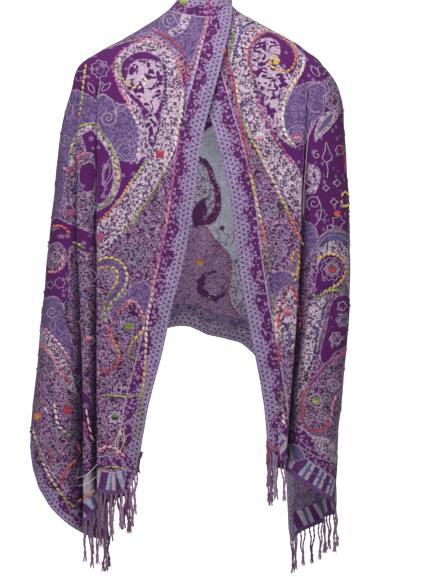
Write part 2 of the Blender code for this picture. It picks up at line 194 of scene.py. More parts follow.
LINES = (
    (0.140, 0.038, -0.024, -0.189, -0.233, 0.172, 0.200),
    (0.065, 0.041, -0.026, -0.189, -0.233, 0.172, 0.200),
    (0.014, 0.030, -0.022, -0.189, -0.233, 0.172, 0.200),
    (-0.031, 0.019, -0.014, -0.189, -0.233, 0.172, 0.200),
    (-0.075, 0.007, -0.002, -0.189, -0.233, 0.172, 0.200),
    (-0.131, -0.007, 0.014, -0.189, -0.233, 0.170, 0.198),
    (-0.230, -0.020, 0.038, -0.189, -0.233, 0.164, 0.192),
    (-0.354, -0.041, 0.054, -0.189, -0.230, 0.159, 0.187),
    (-0.423, -0.059, 0.065, -0.189, -0.226, 0.155, 0.183),
    (-0.510, -0.078, 0.082, -0.189, -0.222, 0.149, 0.176),
    (-0.581, -0.097, 0.095, -0.189, -0.220, 0.143, 0.170),
    (-0.650, -0.110, 0.102, -0.189, -0.220, 0.138, 0.166),
    (-0.720, -0.119, 0.108, -0.189, -0.221, 0.137, 0.165),
    (-0.900, -0.126, 0.116, -0.189, -0.222, 0.137, 0.165),
)
FOLD_COLUMNS = ("z", "lap", "deep", "set_back", "ripple")
LEFT_FOLDS = (
    (-0.070, 0.000, 0.000, 0.000, 0.000),
    (-0.130, 0.004, 0.010, 0.003, 0.002),
    (-0.220, 0.014, 0.030, 0.006, 0.006),
    (-0.360, 0.024, 0.050, 0.009, 0.012),
    (-0.520, 0.034, 0.068, 0.011, 0.017),
    (-0.700, 0.042, 0.084, 0.013, 0.021),
    (-0.900, 0.046, 0.090, 0.014, 0.022),
)
RIGHT_FOLDS = (
    (-0.080, 0.000, 0.000, 0.000, 0.000),
    (-0.150, 0.005, 0.014, 0.002, 0.002),
    (-0.240, 0.012, 0.034, 0.004, 0.006),
    (-0.360, 0.018, 0.056, 0.006, 0.012),
    (-0.520, 0.020, 0.072, 0.007, 0.017),
    (-0.700, 0.019, 0.080, 0.008, 0.021),
    (-0.900, 0.018, 0.082, 0.008, 0.022),
)
KEY_COLUMNS = ("name", "zone", "along", "rest", "in", "hem_z")
LEFT_KEYS = (
    ("edge", "face", 0.00, 0.0, 0.00, -0.704),
    ("band", "face", 0.22, 0.0, 0.00, -0.738),
    ("face", "face", 0.60, 0.0, 0.00, -0.744),
    ("face_side", "face", 0.88, 0.0, -0.02, -0.741),
    ("crest", "fold", 0.00, 0.0, 0.02, -0.739),
    ("under", "fold", -0.25, 0.5, 0.14, -0.741),
    ("lap", "fold", -0.80, 1.0, 0.42, -0.746),
    ("turn", "fold", -1.00, 1.5, 0.78, -0.752),
    ("turn_back", "fold", -0.60, 2.0, 1.00, -0.758),
    ("out", "fold", -0.12, 2.5, 0.70, -0.764),
    ("rise", "roll", 0.22, 0.0, 0.26, -0.772),
    ("roll", "roll", 0.58, 0.0, 0.06, -0.788),
    ("roll_crest", "roll_fold", 0.00, 0.0, 0.08, -0.801),
    ("roll_under", "roll_fold", -0.22, 0.5, 0.22, -0.806),
    ("roll_lap", "roll_fold", -0.52, 1.0, 0.50, -0.814),
    ("roll_turn", "roll_fold", -0.50, 1.5, 0.86, -0.826),
    ("corner", "roll_fold", -0.14, 2.0, 0.94, -0.836),
    ("outer_out", "outer", 0.08, 0.0, 0.60, -0.828),
    ("outer_rise", "outer", 0.30, 0.0, 0.22, -0.804),
    ("outer", "outer", 0.56, 0.0, 0.05, -0.770),
    ("outer_side", "outer", 0.80, 0.0, 0.00, -0.724),
    ("side", "wrap", 0.00, 0.0, 0.00, -0.664),
    ("side_dip", "wrap", 0.12, 0.0, 0.70, -0.640),
    ("side_back", "wrap", 0.24, 0.0, -0.10, -0.616),
    ("back_dip", "wrap", 0.35, 0.0, 1.00, -0.586),
    ("back_ridge", "wrap", 0.47, 0.0, -0.20, -0.546),
    ("blade_dip", "wrap", 0.60, 0.0, 0.60, -0.502),
    ("blade", "wrap", 0.76, 0.0, -0.15, -0.470),
    ("spine_side", "wrap", 0.89, 0.0, 0.10, -0.462),
    ("spine", "wrap", 1.00, 0.0, 0.25, -0.478),
)
RIGHT_KEYS = (
    ("edge", "face", 0.00, 0.0, 0.00, -0.652),
    ("band", "face", 0.34, 0.0, 0.00, -0.676),
    ("face", "face", 0.70, 0.0, 0.00, -0.686),
    ("face_side", "face", 0.90, 0.0, -0.02, -0.689),
    ("crest", "fold", 0.00, 0.0, 0.02, -0.690),
    ("under", "fold", -0.25, 0.5, 0.14, -0.692),
    ("lap", "fold", -0.90, 1.0, 0.42, -0.696),
    ("turn", "fold", -1.00, 1.5, 0.78, -0.700),
    ("turn_back", "fold", -0.40, 2.0, 1.00, -0.702),
    ("out", "fold", 0.10, 2.5, 0.66, -0.704),
    ("rise", "roll", 0.40, 0.0, 0.26, -0.708),
    ("roll", "roll", 0.90, 0.0, 0.06, -0.722),
    ("outer", "outer", 0.30, 0.0, 0.00, -0.745),
    ("outer_face", "outer", 0.62, 0.0, -0.03, -0.764),
    ("outer_side", "outer", 0.84, 0.0, 0.00, -0.778),
    ("side", "wrap", 0.00, 0.0, 0.00, -0.790),
    ("side_dip", "wrap", 0.12, 0.0, 0.70, -0.802),
    ("side_back", "wrap", 0.24, 0.0, -0.10, -0.816),
    ("back_dip", "wrap", 0.36, 0.0, 1.00, -0.834),
    ("corner", "wrap", 0.46, 0.0, 0.20, -0.848),
    ("edge_rise", "wrap", 0.50, 0.0, -0.10, -0.745),
    ("back_ridge", "wrap", 0.55, 0.0, -0.20, -0.640),
    ("blade_dip", "wrap", 0.64, 0.0, 0.60, -0.552),
    ("blade", "wrap", 0.78, 0.0, -0.15, -0.500),
    ("spine_side", "wrap", 0.89, 0.0, 0.10, -0.486),
    ("spine", "wrap", 1.00, 0.0, 0.25, -0.478),
)

# How deep a fold is before it laps over, and how much deeper before it does so fully.
OPEN_FROM = 0.006
OPEN_OVER = 0.014
REST_STEP = 0.0045


class Side(Enum):
    """The two halves of the worn cloth, named from the viewer's side."""

    LEFT = "left"
    RIGHT = "right"

    @property
    def sign(self) -> float:
        """-1 on the left and +1 on the right."""
        return -1.0 if self is Side.LEFT else 1.0

    @property
    def keys(self) -> tuple:
        """The points that the cloth runs through, from the front edge to the spine."""
        return LEFT_KEYS if self is Side.LEFT else RIGHT_KEYS

    @property
    def folds(self) -> tuple:
        """How this half's folds grow from the shoulder down."""
        return LEFT_FOLDS if self is Side.LEFT else RIGHT_FOLDS

    def key(self, name: str) -> int:
        """The row of the named key."""
        return self.key_column("name").index(name)

    def key_column(self, name: str) -> list:
        """The named column of the keys."""
        return [row[KEY_COLUMNS.index(name)] for row in self.keys]


def read_table(rows: tuple, columns: tuple[str, ...], name: str, z: float) -> float:
    """Reads one column of a table whose rows run downwards.

    Args:
        rows: the table.
        columns: the names of its columns, the height first.
        name: the column to read.
        z: the height.

    Returns:
        The value at that height.
    """
    data = np.array(rows, float)
    return float(smooth(-data[:, 0], data[:, columns.index(name)], -z))


@dataclass(frozen=True)
class DrapeSizes:
    """How fine the cloth's grid is and how it lies.

    Args:
        pitch: the width of one face, about.
        rows: the faces down the cloth.
        levels: the heights at which the folds are worked out.
        wall: the cloth's thickness.
        lift: how far the left front stands off the right one where they cross.
        crease: the height of the soft creases.
        rounded: how many columns the ends leave out at their outer corners.
    """

    pitch: float = 0.0032
    rows: int = 288
    levels: int = 90
    wall: float = 0.0009
    lift: float = 0.0055
    crease: float = 0.0011
    rounded: int = 9


class Drape:
    """The form of the worn cloth: a grid of points outside, one inside, and its measures."""

    def __init__(self, sizes: DrapeSizes) -> None:
        """Works out the grids.

        Args:
            sizes: how fine the grid is and how it lies.
        """
        self.sizes = sizes
        self.stops = {side: self._columns(side) for side in Side}
        left, right = (self._half(side) for side in Side)
        left[:, -1] = 0.5 * (left[:, -1] + right[:, -1])
        smooth_grid = np.concatenate([left, right[:, -2::-1]], axis=1)
        self.spine = left.shape[1] - 1
        self.width = smooth_grid.shape[1]
        self.across, self.down = self._measures(smooth_grid)
        normals = self._normals(smooth_grid)
        self.outer = smooth_grid + normals * self._creases()[:, :, None]
        self.normals = self._normals(self.outer)
        self.inner = self.outer - sizes.wall * self.normals
        quads = grid_quads(*self.outer.shape[:2])
        self.tree = BVHTree.FromPolygons(self.outer.reshape(-1, 3).tolist(), quads.tolist())
        self._measure_edges()
        self._measure_valleys()

    def _columns(self, side: Side) -> np.ndarray:
        """Spreads the columns of one half evenly between its keys.

        Args:
            side: the half.

        Returns:
            The columns' places between the keys.
        """
        count, level = len(side.keys), 8.6
        trial = np.linspace(0, count - 1, 20 * (count - 1) + 1)
        points = self._section(side, level, trial)
        steps = np.linalg.norm(np.diff(points, axis=0), axis=1).reshape(count - 1, 20)
        stops = []
        for k, run in enumerate(steps.sum(axis=1)):
            number = max(2, round(run / self.sizes.pitch))
            stops += [k + j / number for j in range(number)]
        return np.array([*stops, count - 1.0])

    def _section(self, side: Side, level: float, columns: np.ndarray) -> np.ndarray:
        """Finds the cloth's points at one level.

        Args:
            side: the half.
            level: the level, counted in rows of RINGS.
            columns: the places between the keys.

        Returns:
            One point for each column.
        """
        knots = np.arange(len(RINGS), dtype=float)
        data = np.array(RINGS, float)
        ring = {n: float(smooth(knots, data[:, i], level)) for i, n in enumerate(RING_COLUMNS)}
        angle = np.radians(np.linspace(-165.0, 90.0, 240))
        cross, depth = np.cos(angle), np.sin(angle)
        power = 2.0 / ring["square"]
        near, far = ring[side.value], ring["left" if side is Side.RIGHT else "right"]
        x = side.sign * np.where(cross > 0, near, far) * np.sign(cross) * np.abs(cross) ** power
        y = np.where(depth < 0, ring["front"], ring["back"]) * np.sign(depth)
        y = y * np.abs(depth) ** power
        low = np.where(depth < 0, ring["front_z"], ring["back_z"])
        z = low + (ring["side_z"] - low) * np.abs(cross) ** 1.6
        path = np.stack([x, y, z], axis=1)
        arcs = run_length(path)
        along, inward = self._keys_at(side, ring, path, arcs, angle <= 0)
        chords = np.hypot(np.diff(along), np.diff(inward))
        places = np.concatenate([[0.0], np.cumsum(np.sqrt(np.maximum(chords, 1e-6)))])
        at = np.interp(columns, np.arange(len(places)), places)
        along_all, inward_all = smooth(places, along, at), smooth(places, inward, at)
        crossed = ease((ring["front_z"] + 0.145) / 0.060)
        near_edge = ease((0.180 - (along_all - along[0])) / 0.090)
        share = -0.5 if side is Side.LEFT else 1.0
        inward_all = inward_all + share * self.sizes.lift * crossed * near_edge
        base = read_line(along_all, arcs, path)
        step = read_line(along_all, arcs, unit(np.gradient(path[:, :2], axis=0)))
        base[:, 0] -= side.sign * inward_all * step[:, 1]
        base[:, 1] += side.sign * inward_all * step[:, 0]
        return base

    def _keys_at(
        self, side: Side, ring: dict, path: np.ndarray, arcs: np.ndarray, front: np.ndarray
    ) -> tuple[np.ndarray, np.ndarray]:
        """Places the keys at one level.

        Args:
            side: the half.
            ring: the sizes of the level's ring.
            path: the ring's points.
            arcs: how far along the ring each of them is.
            front: which of them are in front.

        Returns:
            How far along the ring each key is, and how far inwards.
        """
        z, half = ring["front_z"], ring[side.value]
        fold = {c: read_table(side.folds, FOLD_COLUMNS, c, z) for c in FOLD_COLUMNS[1:]}
        front_x, front_arcs = side.sign * path[front, 0], arcs[front]

        def place(line: str, limit: float) -> float:
            """How far along the ring a line of LINES is, and no farther out than a limit."""
            reach = side.sign * read_table(LINES, LINE_COLUMNS, f"{side.value}_{line}", z)
            return float(np.interp(min(reach, limit), front_x, front_arcs))

        start, crease, roll = place("edge", half), place("fold", 0.80 * half), place("roll", 0.93 * half)
        flank, end = float(front_arcs[-1]), float(arcs[-1])
        opened = float(ease((fold["deep"] - OPEN_FROM) / OPEN_OVER))
        zones = {"face": (start, crease), "roll": (crease, roll), "outer": (roll, flank), "wrap": (flank, end)}
        along, inward = [], []
        for _, zone, share, rest, depth, _ in side.keys:
            if zone in zones:
                low, high = zones[zone]
                if zone in ("roll", "outer"):
                    low = low + 0.25 * (high - low) * (1 - opened)
                spot = low + share * (high - low)
            else:
                at, room = (crease, roll - crease) if zone == "fold" else (roll, flank - roll)
                flat = at + rest * min(REST_STEP, 0.09 * room)
                spot = flat + opened * (at + share * fold["lap"] - flat)
            recess = {"roll": 1.0, "roll_fold": 1.0, "outer": 1.0 - share}.get(zone, 0.0)
            scale = fold["ripple"] if zone == "wrap" else fold["deep"]
            along.append(spot)
            inward.append(recess * fold["set_back"] + depth * scale)
        return np.array(along), np.array(inward)

    def _half(self, side: Side) -> np.ndarray:
        """Makes half of the cloth, rows from the collar to the hem.

        Args:
            side: the half.

        Returns:
            Its points, columns from the front edge to the spine.
        """
        columns, rows = self.stops[side], self.sizes.rows
        levels = np.linspace(0.0, len(RINGS) - 1.0, self.sizes.levels)
        stack = np.stack([self._section(side, level, columns) for level in levels])
        hems = smooth(np.arange(len(side.keys), dtype=float), side.key_column("hem_z"), columns)
        grid = np.empty((rows + 1, len(columns), 3))
        for c, hem in enumerate(hems):
            line = stack[:, c]
            last = float(np.interp(-hem, -line[:, 2], levels))
            fine = np.linspace(0.0, last, 4 * rows + 1)
            path = np.stack([smooth(levels, line[:, i], fine) for i in range(3)], axis=1)
            run = run_length(path)
            grid[:, c] = read_line(np.linspace(0.0, run[-1], rows + 1), run, path)
        return grid

    @staticmethod
    def _heading(grid: np.ndarray, axis: int) -> np.ndarray:
        """Finds the way the grid runs at each point, halfway between the steps beside it.

        Args:
            grid: the points.
            axis: 0 for the way down, 1 for the way across.

        Returns:
            The ways, of length 1.
        """
        steps = unit(np.diff(grid, axis=axis))
        first, last = np.take(steps, [0], axis=axis), np.take(steps, [-1], axis=axis)
        return unit(np.concatenate([first, steps], axis=axis) + np.concatenate([steps, last], axis=axis))

    def _normals(self, grid: np.ndarray) -> np.ndarray:
        """The outward way at each point of the grid."""
        return unit(np.cross(self._heading(grid, 1), self._heading(grid, 0)))

    def _measures(self, grid: np.ndarray) -> tuple[np.ndarray, np.ndarray]:
        """Measures the grid.

        Args:
            grid: the points.

        Returns:
            How far each point lies from the spine along its row, and down its column.
        """
        rows = np.linalg.norm(np.diff(grid, axis=1), axis=2)
        across = np.concatenate([np.zeros((len(grid), 1)), np.cumsum(rows, axis=1)], axis=1)
        columns = np.linalg.norm(np.diff(grid, axis=0), axis=2)
        down = np.concatenate([np.zeros((1, grid.shape[1])), np.cumsum(columns, axis=0)])
        return across - across[:, self.spine : self.spine + 1], down

    def zone(self, side: Side, first: str, last: str) -> np.ndarray:
        """Finds which columns lie between two keys of one half.

        Args:
            side: the half.
            first: the key nearer to the front edge.
            last: the key nearer to the spine.

        Returns:
            1 for each column between them and 0 for the others.
        """
        stops = self.stops[side]
        inside = (stops >= side.key(first) - 1e-6) & (stops <= side.key(last) + 1e-6)
        mask = np.zeros(self.width)
        if side is Side.LEFT:
            mask[: len(stops)] = inside
        else:
            mask[self.width - len(stops) :] = inside[::-1]
        return mask

    def column(self, side: Side, name: str) -> int:
        """The column on which the named key lies."""
        at = int(np.argmin(np.abs(self.stops[side] - side.key(name))))
        return at if side is Side.LEFT else self.width - 1 - at

    def _creases(self) -> np.ndarray:
        """Works out the heights of the soft creases, which run down the cloth and fade in its folds.

        Returns:
            One height for each point.
        """
        u, v = self.across, self.down
        tau = 2 * math.pi
        sway = 0.35 * np.sin(tau * v / 0.41 + 3.0 * np.sin(tau * u / 0.9)) + 0.2 * np.sin(tau * v / 0.23)
        high = np.sin(tau * (u / 0.062 + sway)) * (0.6 + 0.4 * np.sin(tau * (v / 0.31 + u / 0.5)))
        high += 0.5 * np.sin(tau * (u / 0.034 + v / 0.19 + 0.8 * sway))
        high += 0.35 * np.sin(tau * (v / 0.085 + 0.5 * np.sin(tau * u / 0.21)))
        calm = np.ones(self.width)
        for side, folds in ((Side.LEFT, ("face_side", "rise")), (Side.LEFT, ("roll", "outer_rise")),
                            (Side.RIGHT, ("face_side", "roll"))):
            calm -= self.zone(side, *folds)
        spread = 9
        calm = np.convolve(np.pad(calm, spread, "edge"), np.ones(2 * spread + 1), "valid") / (2 * spread + 1)
        return self.sizes.crease * 0.6 * high * calm * ease((v - 0.02) / 0.10)

    def _measure_edges(self) -> None:
        """Measures each point's distance from the long edges and from the short ends."""
        left_corner = self.column(Side.LEFT, "corner")
        right_corner = self.column(Side.RIGHT, "corner")
        grid = self.outer
        neck = np.concatenate([grid[::-1, 0], grid[0, 1:-1], grid[:, -1]])
        middle = len(grid) + self.spine
        halves = ((slice(0, self.spine + 1), neck[: middle + 40]), (slice(self.spine, None), neck[middle - 40 :]))
        self.edge = np.full(grid.shape[:2], 1.0)
        self.edge_along = np.zeros(grid.shape[:2])
        self.end = np.full(grid.shape[:2], 1.0)
        self.end_along = np.zeros(grid.shape[:2])
        for part, line in halves:
            self._nearest(self._longer(line), part, self.edge, self.edge_along)
        lower = grid[-1, left_corner : right_corner + 1]
        self._nearest(lower, slice(None), self.edge, self.edge_along)
        skip = self.sizes.rounded
        for hem, part in ((grid[-1, skip : left_corner + 1], slice(0, left_corner + 30)),
                          (grid[-1, right_corner:-skip], slice(right_corner - 30, None))):
            self._nearest(self._longer(hem), part, self.end, self.end_along)

    def _measure_valleys(self, rays: int = 14, reach: float = 0.10) -> None:
        """Measures how far each point lies in a fold, by what its lines of sight meet close by. The cloth's finish
        paints shade into the folds by this measure.

        Args:
            rays: how many lines of sight each point has.
            reach: how far they look.
        """
        rows, columns = self.outer.shape[:2]
        k = np.arange(rays) + 0.5
        height, turn = 1.0 - 2.0 * k / rays, k * math.pi * (3.0 - math.sqrt(5.0))
        flat = np.sqrt(1.0 - height**2)
        ball = np.stack([flat * np.cos(turn), flat * np.sin(turn), height], axis=1)
        met = np.zeros(rows * columns)
        for i, (spot, normal) in enumerate(zip(self.outer.reshape(-1, 3), self.normals.reshape(-1, 3))):
            start = spot + 0.0015 * normal
            ways = ball + 1.02 * normal
            met[i] = sum(self.tree.ray_cast(start, way, reach)[0] is not None for way in ways) / rays
        met = met.reshape(rows, columns)
        wide = np.pad(met, 1, "edge")
        met = sum(wide[r : r + rows, c : c + columns] for r in range(3) for c in range(3)) / 9
        self.valley_shade = np.clip((met - 0.10) / 0.55, 0.0, 1.0)

    @staticmethod
    def _longer(line: np.ndarray, reach: float = 0.06) -> np.ndarray:
        """Runs both ends of a line on straight, so that a border stays even at a corner.

        Args:
            line: the line's points.
            reach: how far its ends run on.

        Returns:
            The longer line's points.
        """
        first, last = line[0] - line[9], line[-1] - line[-10]
        return np.concatenate([[line[0] + first / np.linalg.norm(first) * reach], line,
                               [line[-1] + last / np.linalg.norm(last) * reach]])

    def _nearest(self, line: np.ndarray, part: slice, far: np.ndarray, along: np.ndarray) -> None:
        """Keeps the shorter distance to a line, and how far along it the nearest spot is.

        Args:
            line: the line's points.
            part: the columns to measure.
            far: the distances so far, which this changes.
            along: the places along the lines so far, which this changes.
        """
        run = run_length(line)
        even = np.arange(0.0, run[-1], 0.001)
        dense = read_line(even, run, line)
        tree = KDTree(len(dense))
        for i, spot in enumerate(dense):
            tree.insert(spot, i)
        tree.balance()
        wide = np.zeros(far.shape, bool)
        wide[:, part] = True
        for r, c in np.argwhere(wide & self._near(dense)):
            _, i, gap = tree.find(self.outer[r, c])
            if gap < far[r, c]:
                far[r, c], along[r, c] = gap, even[i]

    def _near(self, line: np.ndarray, reach: float = 0.07) -> np.ndarray:
        """Finds which points lie in any of the boxes round stretches of a line.

        Args:
            line: the line's points.
            reach: how far a box goes past its stretch.

        Returns:
            Whether each point of the cloth does.
        """
        found = np.zeros(self.outer.shape[:2], bool)
        for i in range(0, len(line), 20):
            low, high = line[i : i + 21].min(axis=0) - reach, line[i : i + 21].max(axis=0) + reach
            found |= np.all((self.outer > low) & (self.outer < high), axis=2)
        return found


@dataclass(frozen=True)
class Viewpoint:
    """A place that the shawl is drawn from.

    Args:
        turn: degrees round the upright through the shawl, 0 in front, 90 on its right.
    """

    turn: float = 0.0

    def turned(self, points: np.ndarray, sign: float) -> np.ndarray:
        """Turns points round the upright.

        Args:
            points: their places.
            sign: 1.0 towards this place, -1.0 away from it.

        Returns:
            The turned places.
        """
        a = math.radians(self.turn) * sign
        x, y = points[..., 0] - EYE[0], points[..., 1]
        turned = points.copy()
        turned[..., 0] = EYE[0] + x * math.cos(a) - y * math.sin(a)
        turned[..., 1] = x * math.sin(a) + y * math.cos(a)
        return turned

    def project(self, points: np.ndarray) -> np.ndarray:
        """Finds where points are seen.

        Args:
            points: their places.

        Returns:
            How far across and down each one is, in steps.
        """
        turned = self.turned(points, -1.0)
        scale = (FRONT_Y - EYE[1]) / ((turned[..., 1] - EYE[1]) * STEP)
        across = VIEW_MIDDLE[0] + (turned[..., 0] - EYE[0]) * scale
        down = VIEW_MIDDLE[1] - (turned[..., 2] - EYE[2]) * scale
        return np.stack([across, down], axis=-1)

    def ray(self, across: float, down: float) -> tuple[Vector, Vector]:
        """Finds the line of sight through a place of the drawing.

        Args:
            across: how far across the place is.
            down: how far down it is.

        Returns:
            Where the line starts and where it heads.
        """
        aside, drop = (across - VIEW_MIDDLE[0]) * STEP, (VIEW_MIDDLE[1] - down) * STEP
        spot = np.array([EYE[0] + aside, FRONT_Y, EYE[2] + drop])
        start, aim = self.turned(np.array(EYE), 1.0), self.turned(spot, 1.0)
        return Vector(start), Vector(aim - start).normalized()


FRONT = Viewpoint()


def closed_curve(points: tuple, steps: int = 8) -> np.ndarray:
    """Draws a smooth closed curve through points.

    Args:
        points: places across and down.
        steps: how many pieces lead from one to the next.

    Returns:
        The curve's points.
    """
    p = np.asarray(points, float)
    a, b, c, d = np.roll(p, 1, 0), p, np.roll(p, -1, 0), np.roll(p, -2, 0)
    t = (np.arange(steps) / steps)[None, :, None]
    a, b, c, d = (q[:, None, :] for q in (a, b, c, d))
    curve = 0.5 * (2 * b + (c - a) * t + (2 * a - 5 * b + 4 * c - d) * t**2 + (3 * b - a - 3 * c + d) * t**3)
    return curve.reshape(-1, 2)


def open_curve(points: tuple, pitch: float = 0.5) -> np.ndarray:
    """Draws a smooth open curve through points, with evenly spaced points of its own.

    Args:
        points: places across and down.
        pitch: how far apart its own points are.

    Returns:
        The curve's points.
    """
    p = np.asarray(points, float)
    if len(p) == 2:
        p = np.array([p[0], p.mean(axis=0), p[1]])
    knots = run_length(p)
    at = np.linspace(0.0, knots[-1], max(3, int(knots[-1] / pitch)))
    return np.stack([smooth(knots, p[:, i], at) for i in range(2)], axis=1)


def path(places: str) -> tuple:
    """Reads a drawn line's places, each written across,down."""
    return tuple(tuple(float(value) for value in place.split(",")) for place in places.split())


def placed(
    points: list[tuple[float, float]], x: float, y: float, size: float, turn: float, flip: bool = False
) -> tuple:
    """Sizes, turns and moves an outline.

    Args:
        points: the outline, about 1 high.
        x: where its middle goes, across.
        y: where its middle goes, down.
        size: its height.
        turn: how far it is turned, in degrees.
        flip: whether it is mirrored first.

    Returns:
        The outline's points.
    """
    p = np.array(points, float) * size
    p[:, 0] *= -1.0 if flip else 1.0
    return tuple(map(tuple, spin(p, math.radians(turn)) + (x, y)))


def boteh(x: float, y: float, size: float, turn: float = 0.0, flip: bool = False) -> tuple:
    """Gives the outline of a curled teardrop that stands on its round end.

    Args:
        x: its middle, across.
        y: its middle, down.
        size: its height.
        turn: how far it is turned, in degrees.
        flip: whether it is mirrored.

    Returns:
        The outline's points.
    """
    points = [(0.00, 0.50), (0.20, 0.44), (0.32, 0.26), (0.32, 0.04), (0.22, -0.16), (0.10, -0.30), (0.08, -0.42),
              (0.18, -0.50), (0.02, -0.50), (-0.10, -0.38), (-0.20, -0.18), (-0.31, 0.04), (-0.33, 0.26), (-0.20, 0.44)]
    return placed(points, x, y, size, turn, flip)


def leaf(x: float, y: float, size: float, turn: float = 0.0, wide: float = 0.42) -> tuple:
    """Gives the outline of a pointed leaf.

    Args:
        x: its middle, across.
        y: its middle, down.
        size: its height.
        turn: how far it is turned, in degrees.
        wide: its width as a share of its height.

    Returns:
        The outline's points.
    """
    half = 0.5 * wide
    points = [(0.0, -0.5), (0.6 * half, -0.28), (half, 0.0), (0.7 * half, 0.27), (0.0, 0.5), (-0.7 * half, 0.27),
              (-half, 0.0), (-0.6 * half, -0.28)]
    return placed(points, x, y, size, turn)


def rosette(x: float, y: float, size: float, petals: int = 6, depth: float = 0.16, turn: float = 0.0) -> tuple:
    """Gives the outline of a flower seen from above.

    Args:
        x: its middle, across.
        y: its middle, down.
        size: its width.
        petals: how many petals it has.
        depth: how deep the dents between them are, as a share of its width.
        turn: how far it is turned, in degrees.

    Returns:
        The outline's points.
    """
    angle = np.arange(2 * petals) * math.pi / petals
    reach = 0.5 * np.where(np.arange(2 * petals) % 2 == 0, 1.0, 1.0 - 2 * depth)
    return placed(list(zip(reach * np.cos(angle), reach * np.sin(angle))), x, y, size, turn)


def spiral(x: float, y: float, size: float, turns: float = 2.0, turn: float = 0.0, flip: bool = False) -> tuple:
    """Gives a line that curls inwards.

    Args:
        x: its middle, across.
        y: its middle, down.
        size: its width.
        turns: how often it goes round.
        turn: how far it is turned, in degrees.
        flip: whether it is mirrored.

    Returns:
        The line's points.
    """
    t = np.linspace(0.0, 1.0, int(10 * turns) + 2)
    angle, reach = 2 * math.pi * turns * t, 0.5 * (1.0 - 0.88 * t)
    return placed(list(zip(reach * np.cos(angle), reach * np.sin(angle))), x, y, size, turn, flip)


def ringed(outline: tuple) -> tuple:
    """Gives a closed outline as a line that ends where it starts."""
    return tuple(map(tuple, closed_curve(outline, 3))) + (tuple(outline[0]),)


def inside_distance(spots: np.ndarray, curve: np.ndarray) -> np.ndarray:
    """Measures how deep places lie inside a closed curve, less than 0 outside it.

    Args:
        spots: the places.
        curve: the curve's points.

    Returns:
        The depth of each place.
    """
    a, b = curve, np.roll(curve, -1, 0)
    way = b - a
    gap = spots[:, None, :] - a[None]
    t = np.clip((gap * way).sum(-1) / np.maximum((way**2).sum(-1), 1e-12), 0.0, 1.0)
    near = np.linalg.norm(gap - t[..., None] * way, axis=-1).min(axis=1)
    y = spots[:, 1][:, None]
    spans = (a[:, 1] > y) != (b[:, 1] > y)
    rise = np.where(np.abs(way[:, 1]) < 1e-12, 1e-12, way[:, 1])
    crosses = spans & (spots[:, 0][:, None] < a[:, 0] + (y - a[:, 1]) / rise * way[:, 0])
    return np.where(crosses.sum(axis=1) % 2 == 1, near, -near)


class Ground(Enum):
    """The kinds of ground that a motif may have, from the lowest to the topmost."""

    MAUVE = "mauve"
    MAGENTA = "magenta"
    SLATE = "slate"
    SILVER = "silver"
    ACANTHUS = "acanthus"


@dataclass(frozen=True)
class Motif:
    """A leaf, flower or field of the woven pattern.

    Args:
        ground: its colour.
        outline: points on its outline, across and down.
        panel: the stretch of cloth that it lies on, one of PANELS, "front" for any, or
            "inside" for the reverse.
        view: where it is drawn from.
    """

    ground: Ground
    outline: tuple
    panel: str = "front"
    view: Viewpoint = FRONT


# The stretches of cloth that a motif may keep to, each between two keys of one half.
PANELS = {
    "left": (Side.LEFT, "edge", "spine"),
    "left_face": (Side.LEFT, "edge", "under"),
    "left_outer": (Side.LEFT, "outer_out", "side_dip"),
    "right": (Side.RIGHT, "edge", "spine"),
    "right_face": (Side.RIGHT, "edge", "under"),
}


class Pattern:
    """The woven pattern as depths inside its fields, one for each point of the cloth."""

    LIMIT = 0.03

    def __init__(self, drape: Drape) -> None:
        """Starts with nothing drawn.

        Args:
            drape: the cloth.
        """
        self.drape = drape
        shape = drape.outer.shape[:2]
        self.depths = {g: np.full(shape, -self.LIMIT) for g in Ground}
        self.reverse = {g: np.full(shape, -self.LIMIT) for g in Ground}

    def _panel(self, name: str, view: Viewpoint) -> np.ndarray:
        """Finds which points belong to a stretch of the cloth and face the viewer.

        Args:
            name: the stretch.
            view: where the viewer is.

        Returns:
            Whether each point of the cloth does.
        """
        drape = self.drape
        columns = drape.zone(*PANELS[name]) if name in PANELS else np.ones(drape.width)
        eye = view.turned(np.array(EYE), 1.0)
        facing = ((eye - drape.outer) * drape.normals).sum(axis=2)
        if name == "inside":
            facing = -facing
        return (columns[None, :] > 0) & (facing > FACING)

    def draw(self, motif: Motif) -> None:
        """Draws one motif over what is there.

        Args:
            motif: the motif.
        """
        depths = self.reverse if motif.panel == "inside" else self.depths
        curve = closed_curve(motif.outline)
        seen = motif.view.project(self.drape.outer)
        reach = self.LIMIT / STEP
        low, high = curve.min(axis=0) - reach, curve.max(axis=0) + reach
        near = self._panel(motif.panel, motif.view) & np.all((seen > low) & (seen < high), axis=2)
        if not near.any():
            return
        depth = np.clip(inside_distance(seen[near], curve) * STEP, -self.LIMIT, self.LIMIT)
        if motif.view.turn:
            fronted = (unit(np.array(EYE) - self.drape.outer[near]) * self.drape.normals[near]).sum(axis=1)
            depth = np.minimum(depth, (FRONT_LIMIT - fronted) * FRONT_FADE)
        for ground in Ground:
            own = depths[ground][near]
            depths[ground][near] = np.maximum(own, depth) if ground is motif.ground else np.minimum(own, -depth)


@dataclass(frozen=True)
class Run:
    """One line of stitches.

    Args:
        points: places that it passes through, across and down.
        colours: the yarn's colours along it.
        length: how long one stitch is, in metres.
        width: how thick one stitch is, in metres.
        slant: how far a stitch turns off the line, in degrees.
        pitch: the share of its length by which the next one follows.
        view: where it is drawn from.
    """

    points: tuple
    colours: str
    length: float = 0.0094
    width: float = 0.0048
    slant: float = 14.0
    pitch: float = 1.04
    view: Viewpoint = FRONT


